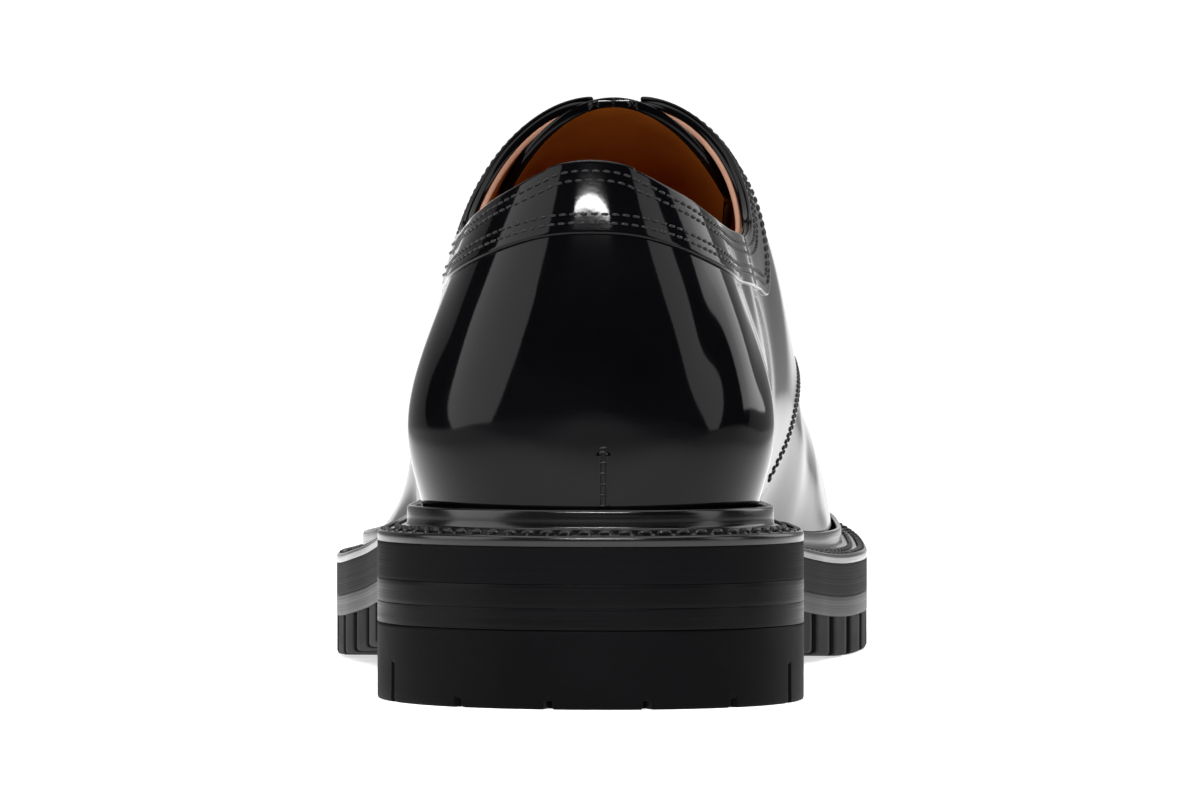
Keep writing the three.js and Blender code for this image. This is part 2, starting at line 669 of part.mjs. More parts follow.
// A lace bar: out of one hole, over both facings and into the hole opposite.
const laceArcs = 4;
const laceSteps = 6;
function makeLaceBar(y) {
  const [first, second] = eyeletAngles(y);
  const proud = quarterStep + seam + laceDiameter / 2;
  const points = [lastOffset(y, first, -wall * 0.5)];
  for (let i = 0; i <= laceSteps; i += 1) {
    const angle = THREE.MathUtils.lerp(first, second, i / laceSteps);
    points.push(lastOffset(y, angle, proud));
  }
  points.push(lastOffset(y, second, -wall * 0.5));
  const path = new THREE.CatmullRomCurve3(points, false, "centripetal");
  const section = new THREE.Shape();
  section.absarc(0, 0, laceDiameter / 2, 0, 2 * Math.PI);
  const bar = new THREE.ExtrudeGeometry(section, {
    steps: laceSteps + 2,
    curveSegments: laceArcs,
    extrudePath: path,
  });
  return toSolid(bar);
}

// Finishes.
const polishedLeather = { color: 0x0c0c0e, roughness: 0.18, metalness: 0 };
const finish = {
  upper: polishedLeather,
  lining: { color: 0x7a4420, roughness: 0.6, metalness: 0 },
  edge: { color: 0x141416, roughness: 0.35, metalness: 0 },
  rubber: { color: 0x1b1b1d, roughness: 0.55, metalness: 0 },
  lace: { color: 0x0a0a0b, roughness: 0.7, metalness: 0 },
};

const shoe = new THREE.Group();
function addPiece(name, solid, look) {
  const mesh = new THREE.Mesh(toGeometry(solid), new THREE.MeshStandardMaterial(finish[look]));
  mesh.name = name;
  shoe.add(mesh);
}
addPiece("upper", makeUpper(), "upper");
addPiece("tongue", makeTongue(), "upper");
addPiece("insole", makeInsole(), "lining");
addPiece("welt", makeWelt(), "edge");
addPiece("midsole", makeMidsole(), "edge");
addPiece("outsole", makeOutsole(), "rubber");
addPiece("heel_lift", makeHeelLift(), "edge");
addPiece("heel_block", makeHeelBlock(), "rubber");
laceRowPlaces.forEach((y, i) => addPiece(`lace_bar_${i + 1}`, makeLaceBar(y), "lace"));

export default shoe;
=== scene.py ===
# %% [markdown]
# # A split-toe derby in black polished leather
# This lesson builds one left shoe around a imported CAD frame. The frame gives the sizes, and
# every piece here is a surface worked out with numpy: leather panels on the last, a stitched
# welt, stacked leather edges, rubber lugs, laces and the tan lining.

# %% Load the frame and keep its box
import bpy
import bmesh
import numpy as np
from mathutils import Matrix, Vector


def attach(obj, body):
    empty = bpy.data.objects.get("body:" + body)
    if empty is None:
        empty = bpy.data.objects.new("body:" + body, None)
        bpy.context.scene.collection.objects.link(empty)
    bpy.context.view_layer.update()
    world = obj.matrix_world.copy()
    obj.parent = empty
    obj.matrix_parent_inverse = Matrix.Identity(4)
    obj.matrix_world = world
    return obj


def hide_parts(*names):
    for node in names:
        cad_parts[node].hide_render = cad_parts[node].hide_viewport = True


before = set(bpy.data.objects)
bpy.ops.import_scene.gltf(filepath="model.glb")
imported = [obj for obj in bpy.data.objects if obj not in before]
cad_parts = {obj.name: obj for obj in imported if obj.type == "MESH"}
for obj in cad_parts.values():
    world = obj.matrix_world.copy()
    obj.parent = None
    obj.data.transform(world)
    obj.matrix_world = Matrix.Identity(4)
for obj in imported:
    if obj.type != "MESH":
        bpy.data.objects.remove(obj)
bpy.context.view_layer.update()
MM = 0.001

# %% [markdown]
# ## Sizes
# A shoemaker works from the length of the sole, the widths at heel and ball and the height of
# the instep. All other sizes hang on these, in millimetres, with the toe along +Y and the
# inner side of the foot along +X.

# %% Driving sizes
SOLE_LENGTH = 300.0
HEEL_REACH = 40.0
HEEL_WIDTH = 77.5
BALL_WIDTH = 108.5
INSTEP_HEIGHT = 84.0
BACK_HEIGHT = 65.0
REAR_EDGE, TOE_EDGE = -HEEL_REACH, SOLE_LENGTH - HEEL_REACH
HEEL_ROUNDNESS, TOE_ROUNDNESS, TOE_RUN = 2.15, 2.3, 62.0
HEEL_BLOCK, HEEL_LIFT, OUTSOLE, LUG_DEPTH, MIDSOLE, WELT = 14.0, 3.8, 4.2, 8.0, 6.6, 3.0
TOE_SPRING, SEAM = 11.0, 0.3
BREAST = 82.0 - HEEL_REACH
WELT_REACH, COUNTER_TUCK, WALL = 7.2, 2.3, 1.8
QUARTER_STEP, BAND_STEP = 0.9, 0.6
BACK_SWELL, BACK_LEAN, BACK_PINCH = 2.6, 6.0, 0.15
TOE_BOX_RUN, TOE_BOX_ROUNDNESS = 38.0, 2.5
SPLIT_LENGTH, SPLIT_PLACE, SPLIT_WIDTH, SPLIT_PULL, SPLIT_WEB = 60.0, 6.5, 4.6, 20.0, 0.17
SOLE_NOTCH, SOLE_NOTCH_WIDTH = 9.0, 5.8

# %% [markdown]
# ## Tables for plan, last and pattern edges
# A last has no simple formula, so a few sections along its length are given, and a
# smooth curve runs through each column. The first column is always the share along the sole.

# %% Tables
def table(names, *rows):
    """Rows of numbers as a dictionary of columns, one array for each name."""
    values = np.array(rows, float)
    return {name: values[:, i] for i, name in enumerate(names.split())}

PLAN = table(
    "along centre heel ball",
    (0.0, 0.024, 1.0, 0.0), (0.133, 0.0, 1.0, 0.0), (0.233, -0.015, 0.8, 0.124),
    (0.333, -0.037, 0.5, 0.34), (0.45, -0.06, 0.2, 0.625), (0.55, -0.065, 0.0, 0.892),
    (0.65, -0.057, 0.0, 0.99), (0.733, -0.043, 0.0, 1.0), (0.817, -0.027, 0.0, 0.95),
    (0.9, -0.008, 0.0, 0.88), (1.0, 0.02, 0.0, 0.78),
)
LAST = table(
    "along crown shoulder inner outer belly lean tuck",
    (0.0, 0.97, 2.3, 0.145, 0.14, 0.0, -0.015, 1.0),
    (0.133, 1.0, 2.35, 0.145, 0.14, 0.0, 0.01, 1.0),
    (0.267, 1.0, 3.0, 0.13, 0.11, 0.02, 0.03, 0.9),
    (0.383, 0.985, 3.6, 0.1, 0.03, 0.05, 0.062, 0.7),
    (0.45, 0.883, 3.2, 0.06, -0.03, 0.055, 0.069, 0.5),
    (0.517, 0.762, 2.75, 0.03, -0.08, 0.04, 0.07, 0.3),
    (0.583, 0.65, 2.35, 0.0, -0.1, 0.02, 0.066, 0.1),
    (0.65, 0.565, 2.1, -0.02, -0.12, 0.01, 0.063, 0.0),
    (0.717, 0.49, 2.05, -0.02, -0.11, 0.0, 0.058, 0.0),
    (0.783, 0.43, 2.1, -0.01, -0.08, 0.0, 0.05, 0.0),
    (0.85, 0.385, 2.3, 0.0, -0.04, 0.0, 0.04, 0.0),
    (0.917, 0.355, 2.5, 0.01, 0.0, 0.0, 0.03, 0.0),
    (1.0, 0.33, 2.6, 0.01, 0.01, 0.0, 0.02, 0.0),
)
TOPLINE = table(
    "along back instep",
    (0.0, 1.0, 0.0), (0.03, 0.996, 0.0), (0.05, 0.935, 0.0), (0.07, 0.897, 0.0), (0.1, 0.854, 0.0),
    (0.133, 0.837, 0.0), (0.2, 0.811, 0.0), (0.25, 0.803, 0.0), (0.29, 0.76, 0.04),
    (0.32, 0.62, 0.185), (0.347, 0.36, 0.48), (0.368, 0.13, 0.78), (0.385, 0.0, 0.97),
)
BAND_EDGE = table(
    "along back instep",
    (0.0, 0.83, 0.0), (0.03, 0.806, 0.0), (0.05, 0.77, 0.0), (0.07, 0.738, 0.0), (0.1, 0.704, 0.0),
    (0.133, 0.684, 0.0), (0.2, 0.671, 0.0), (0.285, 0.66, 0.0), (0.325, 0.645, 0.0),
    (0.345, 0.5, 0.15), (0.36, 0.3, 0.37), (0.38, 0.15, 0.6), (0.41, 0.05, 0.82), (0.44, 0.0, 1.0),
)
QUARTER_EDGE = table(
    "along back instep",
    (0.39, 0.0, -0.3), (0.41, 0.0, 0.02), (0.437, 0.0, 0.14), (0.483, 0.0, 0.25),
    (0.54, 0.0, 0.325), (0.6, 0.0, 0.375), (0.632, 0.0, 0.42), (0.645, 0.0, 0.5),
)
print("sections of the plan and of the last:", len(PLAN["along"]), len(LAST["along"]))

# %% Curves through a table
def share(y):
    """Place along the shoe as a share of the sole's length."""
    return (np.asarray(y, float) + HEEL_REACH) / SOLE_LENGTH

def place(along):
    """The Y of a share of the sole's length."""
    return np.asarray(along, float) * SOLE_LENGTH - HEEL_REACH

def column(rows, name, along):
    """Cubic curve through the rows: each piece meets its rows with the slope of their neighbours."""
    a, v = rows["along"], rows[name]
    at = np.clip(along, a[0], a[-1])
    i = np.clip(np.searchsorted(a, at, side="left") - 1, 0, len(a) - 2)
    rows_at = np.arange(len(a))
    before, after = np.maximum(rows_at - 1, 0), np.minimum(rows_at + 1, len(a) - 1)
    slope = (v[after] - v[before]) / (a[after] - a[before])
    run = a[i + 1] - a[i]
    s = (at - a[i]) / run
    rise_share = (3 - 2 * s) * s * s
    bend = run * (slope[i] * s * (1 - s) ** 2 - slope[i + 1] * s * s * (1 - s))
    return v[i] * (1 - rise_share) + v[i + 1] * rise_share + bend

def smoothstep(x, low, high):
    """0 below low, 1 above high, and an S-curve between."""
    t = np.clip((x - low) / (high - low), 0, 1)
    return t * t * (3 - 2 * t)

def bell(distance, width):
    """A bell curve: 1 in the middle, and e to the minus square of the distance over the width."""
    return np.exp(-((distance / width) ** 2))

def run_along(points):
    """Length along a line of points, 0 at the first one."""
    return np.concatenate([[0], np.cumsum(np.linalg.norm(np.diff(points, axis=0), axis=1))])

# %% [markdown]
# ## The plan of the sole and its side view
# In plan the sole is a table of widths, closed round heel and toe by superellipses. In side
# view the sole steps down from the heel to the ball and springs up at the toe.

# %% Plan and side view
def rise(y):
    """Underside of the outsole's plate: heel height, a smooth fall to the ball, then toe spring."""
    top = HEEL_BLOCK + HEEL_LIFT
    fall = smoothstep(share(y), 0.217, 0.64)
    spring = np.maximum(0, (share(y) - 0.707) / (1 - 0.707))
    return top + (LUG_DEPTH - top) * fall + TOE_SPRING * spring**2

def seat(y):
    """Top of the welt, where the upper stands."""
    return rise(y) + OUTSOLE + MIDSOLE + WELT

def feather(y):
    """Lower edge of the upper, a seam's width above the welt."""
    return seat(y) + SEAM

def closing(distance, run, roundness):
    """Share of the full width at a distance from an end: one quarter of a superellipse."""
    left = np.clip(1 - distance / run, 0, 1)
    return (1 - left**roundness) ** (1 / roundness)

def centre(y):
    """X of the plan's middle line: the table's share of the ball's width."""
    return column(PLAN, "centre", share(y)) * BALL_WIDTH

def half_width(y, inset):
    """Half the plan's width at y, drawn in all round by an inset."""
    full = column(PLAN, "heel", share(y)) * HEEL_WIDTH + column(PLAN, "ball", share(y)) * BALL_WIDTH
    heel_end = closing(y - REAR_EDGE - inset, HEEL_REACH - inset, HEEL_ROUNDNESS)
    toe_end = closing(TOE_EDGE - inset - y, TOE_RUN - inset, TOE_ROUNDNESS)
    return (full / 2 - inset) * heel_end * toe_end

def feather_inset(y):
    """Distance from the sole's edge to the feather: the welt's reach plus the counter's tuck."""
    return WELT_REACH + COUNTER_TUCK * column(LAST, "tuck", share(y))

def station(t, inset):
    """Y along one side, t from 0 at the back to 1 at the toe: both ends turn evenly in angle."""
    heel_width = np.sin(np.pi / 2 * np.clip(t / 0.25, 0, 1))
    toe_width = np.cos(np.pi / 2 * np.clip((t - 0.7) / 0.3, 0, 1))
    def run_in(width, run, roundness):
        """Distance from an end where the superellipse has grown to a width."""
        return (run - inset) * (1 - (1 - width**roundness) ** (1 / roundness))
    heel_y = REAR_EDGE + inset + run_in(heel_width, HEEL_REACH, HEEL_ROUNDNESS)
    toe_y = TOE_EDGE - inset - run_in(toe_width, TOE_RUN, TOE_ROUNDNESS)
    trunk_y = (t - 0.25) / 0.45 * (TOE_EDGE - TOE_RUN)
    return np.where(t < 0.25, heel_y, np.where(t > 0.7, toe_y, trunk_y))

def parted(x, y, depth, width):
    """Y drawn back beside the split, where the two lobes of the toe part."""
    near_toe = smoothstep(y, TOE_EDGE - 2.4 * SPLIT_PULL, TOE_EDGE - 4)
    return y - depth * bell(x - SPLIT_PLACE, width) * near_toe

def plan_line(turn, inset, notch=SOLE_NOTCH, notch_width=SOLE_NOTCH_WIDTH):
    """Point in plan at a turn from 0 to 2: the toe, the outer side, the heel at 1, the inner side."""
    side = np.where(turn < 1, -1.0, 1.0)
    t = np.abs(1 - turn)
    y = station(t, inset)
    x = centre(y) + side * half_width(y, inset)
    return np.stack([x, parted(x, y, notch, notch_width)], -1)

def even_turns(count, start=0.0, stop=2.0):
    """Turns spaced evenly in length along the sole's edge."""
    fine = np.linspace(start, stop, 6001)
    length = run_along(plan_line(fine, 0.0))
    return np.interp(np.linspace(0, length[-1], count), length, fine), length[-1]

EDGE_TURNS, EDGE_LENGTH = even_turns(721)
EDGE_TURNS = EDGE_TURNS[:-1]
print("edge of the sole, mm:", round(EDGE_LENGTH, 1))

# %% [markdown]
# ## The last
# Every leather panel lies on one surface, the last. A point on it is given by its place along
# the shoe and an angle round the section, from the outer feather over the crown to the inner
# feather. Creases and hollows are soft waves along the surface's normal, added to every layer
# alike, so that panels and stitches stay together.

# %% The last's surface
LIFT_AT_SWELL = 0.25
SWELL_SCALE = 1 / (LIFT_AT_SWELL**2 * (1 - LIFT_AT_SWELL) ** 6)

def last_point(y, angle):
    """Section of a squared arch: height is sine to the power 2 over the shoulder, width the cosine.
    It swells low down, leans with the height, and is grooved along the split of the toe."""
    along = share(y)
    inset = feather_inset(y)
    half = half_width(y, inset)
    toe_end = closing(TOE_EDGE - inset - y, TOE_BOX_RUN, TOE_BOX_ROUNDNESS)
    crown = column(LAST, "crown", along) * INSTEP_HEIGHT * toe_end
    lift = np.clip(np.sin(angle), 0, 1) ** (2 / column(LAST, "shoulder", along))
    swell = SWELL_SCALE * lift**2 * (1 - lift) ** 6
    inner_share = smoothstep(angle, np.pi / 2 - 0.3, np.pi / 2 + 0.3)
    inner, outer = column(LAST, "inner", along), column(LAST, "outer", along)
    low_swell = inner * inner_share + outer * (1 - inner_share)
    side = -np.cos(angle) * (1 + low_swell * swell)
    belly = 4 * column(LAST, "belly", along) * inner_share * lift * (1 - lift)
    shift = belly + column(LAST, "lean", along) * lift**1.5
    up = crown * lift / BACK_HEIGHT
    pinch = 1 - BACK_PINCH * up**2 * (1 - smoothstep(y, -0.125 * HEEL_REACH, 0.875 * HEEL_REACH))
    x = centre(y) + half * side * pinch + BALL_WIDTH * shift
    backward = 1 - smoothstep(y, REAR_EDGE, HEEL_REACH / 2)
    shifted = y + backward * (BACK_LEAN * up**2 - 4 * BACK_SWELL * up * np.maximum(0, 1 - up))
    front = parted(x, shifted, SPLIT_PULL, SPLIT_WIDTH)
    fade = smoothstep(y, TOE_EDGE - SPLIT_LENGTH - 8, TOE_EDGE - SPLIT_LENGTH / 2)
    groove = bell(x - SPLIT_PLACE, SPLIT_WIDTH) * fade
    return np.stack([x, front, feather(front) + crown * lift * (1 - (1 - SPLIT_WEB) * groove)], -1)

def angle_of_height(y, z):
    """Angle above the feather at which the section reaches a height."""
    crown = column(LAST, "crown", share(y)) * INSTEP_HEIGHT
    lift = np.clip((z - feather(y)) / crown, 0, 1)
    return np.arcsin(lift ** (column(LAST, "shoulder", share(y)) / 2))

def angle_of_x(y, x):
    """Angle where the section passes an X near the crown, found by halving."""
    low, high = np.full(np.shape(y), 0.2), np.full(np.shape(y), np.pi - 0.2)
    for _ in range(30):
        middle = (low + high) / 2
        below = last_point(y, middle)[..., 0] < x
        low, high = np.where(below, middle, low), np.where(below, high, middle)
    return (low + high) / 2

def crown_line(y):
    """X of the crown: the middle line, leaned over by the table's share of the ball's width."""
    return centre(y) + column(LAST, "lean", share(y)) * BALL_WIDTH

def edge_height(rows, y):
    """Height of a pattern edge in side view."""
    back, instep = column(rows, "back", share(y)), column(rows, "instep", share(y))
    return back * BACK_HEIGHT + instep * INSTEP_HEIGHT + seat(0.0)

print("crown at the instep, mm:", last_point(place(0.45), np.pi / 2).round(1))

# %% [markdown]
# ## Folds in the leather
# A fold is a trough with a ridge beside it. Each is placed along the shoe, in
# millimetres of depth and width, and fades out at its ends. A dent is a shallow hollow in the
# stiff counter.

# %% Creases
def crease(y, angle, at, slant, depth, width, middle, reach):
    """A trough across the section: a bell along Y round a slanted line, fading with the angle."""
    line = at + slant * (angle - np.pi / 2) + 1.6 * np.sin(5 * angle + at)
    trough = bell(y - line, width) - 0.55 * bell(y - line - 1.9 * width, width * 1.1)
    return -depth * trough * bell(angle - middle, reach)

BACK_Y = REAR_EDGE + WELT_REACH + COUNTER_TUCK
# Place along the shoe, slant, depth, width, and the angle of the middle with the reach round it.
CREASES = [
    (160.0, -9.0, 0.42, 4.6, 1.5, 0.75),
    (172.0, -5.0, 0.34, 4.2, 1.6, 0.65),
    (150.0, -12.0, 0.2, 4.0, 2.0, 0.45),
    (66.0, 22.0, 0.3, 8.0, 0.5, 0.2),
    (48.0, 26.0, 0.22, 7.0, 0.46, 0.18),
    (60.0, -20.0, 0.35, 8.0, 2.62, 0.2),
    (40.0, -26.0, 0.24, 7.0, 2.7, 0.18),
]

# Length round the feather, height, lean, depth, width and reach up the wall.
DENTS = [
    (24.0, 33.0, 0.42, 0.3, 4.5, 13.0),
    (38.0, 27.0, 0.6, 0.34, 6.0, 15.0),
    (-31.0, 30.0, -0.5, 0.22, 6.0, 15.0),
]

def dent(y, angle, at, height, slant, depth, width, reach):
    """A shallow hollow in the counter: a bell along the feather round a line that leans with the
    height, and a bell up the wall. Negative places are on the outer side."""
    crown = column(LAST, "crown", share(y)) * INSTEP_HEIGHT
    high = crown * np.clip(np.sin(angle), 0, 1) ** (2 / column(LAST, "shoulder", share(y)))
    around = np.where(angle < np.pi / 2, -1, 1) * np.interp(y, _y, _run)
    return -depth * bell(around - at - slant * (high - height), width) * bell(high - height, reach)

def relief(y, angle):
    """Sum of the creases over the foot and the shallow dents of the counter."""
    total = sum(crease(y, angle, *row) for row in CREASES)
    toe_free = 1 - smoothstep(y, 196, 215)
    dents = sum(dent(y, angle, *row) for row in DENTS)
    return total * toe_free * smoothstep(np.abs(y - BACK_Y), 20, 45) + dents

print("creases and dents:", len(CREASES), len(DENTS))

# %% [markdown]
# ## Two charts of the last
# Round the heel the shoe turns, so its panels need a chart that turns with it: the length round
# the feather line from the back seam, and a rise from the feather (0) to the crown (1). The vamp
# closes over the foot, so its chart runs from the outer feather (0) over the crown (1) to the
# inner one (2). A panel, its lining and its stitches all read the same chart.

# %% Charts
_t = np.linspace(0, 1, 4001)
_y = station(_t, WELT_REACH + COUNTER_TUCK * (1 - smoothstep(_t, 0.3, 0.6)))
_half = half_width(_y, feather_inset(_y))
_run = np.concatenate([[0], np.cumsum(np.hypot(np.diff(_half), np.diff(_y)))])
FEATHER_LENGTH = _run[-1]

def y_of(length):
    """Place along the shoe at a length round the feather line from the back seam."""
    return np.interp(np.abs(length), _run, _y)

def length_of(y):
    """Length round the feather line at a place along the shoe: y_of turned round."""
    return np.interp(y, _y, _run)

RISE_POWER = 1.7

def angle_of(up):
    """Angle at a rise from 0 to 1: a power curve that spaces points evenly up the wall."""
    return np.pi / 2 * np.clip(up, 0, 1) ** RISE_POWER

def up_of(angle):
    """Rise at an angle: angle_of turned round."""
    return (np.clip(angle, 0, np.pi / 2) * 2 / np.pi) ** (1 / RISE_POWER)

def wall_chart(length, up):
    """The ring chart: negative lengths are the outer side, positive ones the inner side."""
    length, up = np.broadcast_arrays(length, up)
    angle = angle_of(up)
    return last_point(y_of(length), np.where(length < 0, angle, np.pi - angle))

def over_angle(over):
    """Angle on the chart over the foot: up the outer side, then down the inner one."""
    return np.where(over < 1, angle_of(over), np.pi - angle_of(2 - over))

def over_of(angle):
    """Place on the chart over the foot at an angle: over_angle turned round."""
    return np.where(angle < np.pi / 2, up_of(angle), 2 - up_of(np.pi - angle))

def crown_chart(over, length):
    """The chart over the foot: from the outer feather across the crown to the inner feather."""
    over, length = np.broadcast_arrays(over, length)
    return last_point(y_of(length), over_angle(over))

def chart_angle(chart, a, b):
    """Angle round the section that a chart's point has."""
    if chart is crown_chart:
        return over_angle(a)
    return np.where(a < 0, angle_of(b), np.pi - angle_of(b))

def chart_length(chart, a, b):
    """The coordinate of a chart that is the length round the feather line."""
    return b if chart is crown_chart else a

def unit(v):
    """Vectors divided by their own length."""
    return v / np.maximum(np.linalg.norm(v, axis=-1, keepdims=True), 1e-9)

def chart_steps(chart, a, b):
    """Small differences along both directions of a chart."""
    sa, sb = (0.004, 0.25) if chart is crown_chart else (0.25, 0.004)
    low_b, high_b = (0.5, FEATHER_LENGTH - 0.6) if chart is crown_chart else (0.004, 0.999)
    b = np.clip(b, low_b, high_b)
    a = np.clip(a, 0.006, 1.994) if chart is crown_chart else a
    da = (chart(a + sa, b) - chart(a - sa, b)) / (2 * sa)
    db = (chart(a, b + sb) - chart(a, b - sb)) / (2 * sb)
    return da, db

def leather(chart, a, b, offset=0.0, folds=1.0):
    """Point and normal of a chart at an offset, with the folds added along the normal."""
    a, b = np.broadcast_arrays(np.asarray(a, float), np.asarray(b, float))
    da, db = chart_steps(chart, a, b)
    normal = unit(np.cross(da, db))
    bumps = relief(y_of(chart_length(chart, a, b)), chart_angle(chart, a, b))
    height = np.asarray(offset) + folds * bumps
    return chart(a, b) + normal * height[..., None], normal

print("feather line, back seam to toe, mm:", round(FEATHER_LENGTH, 1))

# %% [markdown]
# ## Putting arrays into meshes
# A grid of points becomes a mesh with one face for each cell. A panel of leather is a closed
# body: the grid, a round edge that rolls over its border, and the grid again from below.

# %% Meshes from grids
def grid_faces(rows, cols, wrap_rows=False, wrap_cols=False, start=0):
    """Four corners for each cell of a grid whose points are numbered row by row."""
    i = np.arange(rows if wrap_rows else rows - 1)
    j = np.arange(cols if wrap_cols else cols - 1)
    i, j = np.meshgrid(i, j, indexing="ij")
    i2, j2 = (i + 1) % rows, (j + 1) % cols
    quads = np.stack([i * cols + j, i2 * cols + j, i2 * cols + j2, i * cols + j2], -1)
    return quads.reshape(-1, 4) + start

DOUBLE_GAP, FLAT_EDGE = 2e-6, 1e-7

def cleaned(mesh):
    """Merges doubles, takes out edges without length and turns the faces out."""
    work = bmesh.new()
    work.from_mesh(mesh)
    bmesh.ops.remove_doubles(work, verts=work.verts, dist=DOUBLE_GAP)
    bmesh.ops.dissolve_degenerate(work, edges=work.edges, dist=FLAT_EDGE)
    bmesh.ops.recalc_face_normals(work, faces=work.faces)
    work.to_mesh(mesh)
    work.free()

def make_piece(name, points, faces, finishes, which=None, slot=None, uv=None, stands_for=()):
    """Puts points (mm) and faces into a mesh, cleans it, and lets it ride on the body."""
    mesh = bpy.data.meshes.new(name)
    points = np.reshape(points, (-1, 3)) * MM
    mesh.from_pydata(points.tolist(), [], [list(f) for f in faces])
    for finish in finishes:
        mesh.materials.append(finish)
    if which is not None:
        mesh.polygons.foreach_set("material_index", np.asarray(which, np.int32))
    if uv is not None:
        corners = np.zeros(len(mesh.loops), np.int32)
        mesh.loops.foreach_get("vertex_index", corners)
        layer = mesh.uv_layers.new(name="UVMap")
        layer.data.foreach_set("uv", np.asarray(uv, np.float32).reshape(-1, 2)[corners].ravel())
    cleaned(mesh)
    mesh.polygons.foreach_set("use_smooth", np.ones(len(mesh.polygons), bool))
    piece = bpy.data.objects.new(name, mesh)
    bpy.context.scene.collection.objects.link(piece)
    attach(piece, "root")
    if stands_for:
        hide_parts(*stands_for)
    print(name, "faces:", len(mesh.polygons))
    return piece

def grid_piece(name, points, finish, **rest):
    """A piece whose points are one grid that closes on itself, with one finish all over."""
    return make_piece(name, points, grid_faces(*points.shape[:2]), [finish], **rest)

def sheet_of_leather(points, normals, thickness, steps=4):
    """A closed sheet whose top is a grid; each border turns over in half a circle.
    Returns points, faces and, for each face, 0 for the top, 1 for the edge and 2 for below."""
    rows, cols = points.shape[:2]
    i, j = np.arange(-steps, rows + steps), np.arange(-steps, cols + steps)
    inside_i, inside_j = np.clip(i, 0, rows - 1), np.clip(j, 0, cols - 1)
    over_i, over_j = (i - inside_i)[:, None], (j - inside_j)[None, :]
    base, normal = points[inside_i][:, inside_j], normals[inside_i][:, inside_j]
    along_i = unit(np.gradient(points, axis=0))[inside_i][:, inside_j]
    along_j = unit(np.gradient(points, axis=1))[inside_i][:, inside_j]
    outward = unit(along_i * over_i[..., None] + along_j * over_j[..., None] + 1e-12)
    turn = np.pi * np.maximum(np.abs(over_i), np.abs(over_j)) / steps
    thickness = np.broadcast_to(np.asarray(thickness, float), (rows, cols))[..., None]
    reach = thickness[inside_i][:, inside_j] / 2
    out = base + reach * (outward * np.sin(turn)[..., None] - normal * (1 - np.cos(turn))[..., None])
    top = grid_faces(*out.shape[:2])
    part = (turn > 0).reshape(-1)[top].any(1).astype(int)
    below = points - normals * thickness
    under = grid_faces(rows, cols, start=out.shape[0] * out.shape[1])[:, ::-1]
    which = np.concatenate([part, np.full(len(under), 2)])
    sheet = np.concatenate([out.reshape(-1, 3), below.reshape(-1, 3)])
    return sheet, np.concatenate([top, under]), which

# %% [markdown]
# ## Finishes
# The upper is brushed, polished calf: almost black, with a thin clear coat that reflects the
# room sharply, and a faint grain that only breaks the reflections a little. Stacked edges are
# waxed leather with fine layer lines, the tread is satin rubber, the lining is bare tan leather.
# Each is one Principled shader with procedural colour, roughness and bump.

# %% Node helpers
def new_finish(name, plain):
    """A node tree with one Principled shader, its plain sockets set directly on it."""
    finish = bpy.data.materials.new(name)
    finish.use_nodes = True
    nodes, links = finish.node_tree.nodes, finish.node_tree.links
    shader = nodes["Principled BSDF"]
    for socket, value in plain.items():
        shader.inputs[socket].default_value = value
    return finish, nodes, links, shader

def coordinates(nodes, links, stretch=(1, 1, 1), kind="Object"):
    """Object or UV coordinates, stretched along each axis."""
    source = nodes.new("ShaderNodeTexCoord")
    mapping = nodes.new("ShaderNodeMapping")
    mapping.inputs["Scale"].default_value = stretch
    links.new(source.outputs[kind], mapping.inputs["Vector"])
    return mapping.outputs["Vector"]

def noise(nodes, links, vector, scale, detail=3.0, roughness=0.5):
    """A cloud of noise over a vector; more detail adds finer octaves."""
    texture = nodes.new("ShaderNodeTexNoise")
    texture.inputs["Scale"].default_value = scale
    texture.inputs["Detail"].default_value = detail
    texture.inputs["Roughness"].default_value = roughness
    links.new(vector, texture.inputs["Vector"])
    return texture.outputs["Fac"]

def spread(nodes, links, value, low, high, start=0.3, stop=0.7):
    """Maps a value from start..stop to low..high."""
    ranged = nodes.new("ShaderNodeMapRange")
    for socket, number in zip(("From Min", "From Max", "To Min", "To Max"), (start, stop, low, high)):
        ranged.inputs[socket].default_value = number
    links.new(value, ranged.inputs["Value"])
    return ranged.outputs["Result"]

def two_tone(nodes, links, value, dark, light):
    """A ramp between two colours over the middle of a value's range."""
    ramp = nodes.new("ShaderNodeValToRGB")
    for stop, position, colour in zip(ramp.color_ramp.elements, (0.35, 0.65), (dark, light)):
        stop.position, stop.color = position, (*colour, 1)
    links.new(value, ramp.inputs["Fac"])
    return ramp.outputs["Color"]

def bump(nodes, links, shader, height, distance, strength=1.0):
    """Adds a height, in metres, to what already bends the shader's normal."""
    node = nodes.new("ShaderNodeBump")
    node.inputs["Distance"].default_value = distance
    node.inputs["Strength"].default_value = strength
    links.new(height, node.inputs["Height"])
    for link in list(links):
        if link.to_socket == shader.inputs["Normal"]:
            links.new(link.from_socket, node.inputs["Normal"])
            links.remove(link)
            break
    links.new(node.outputs["Normal"], shader.inputs["Normal"])

# %% Leather, edges, rubber, lining, lace and thread
LAYER_DEPTH = 0.00001

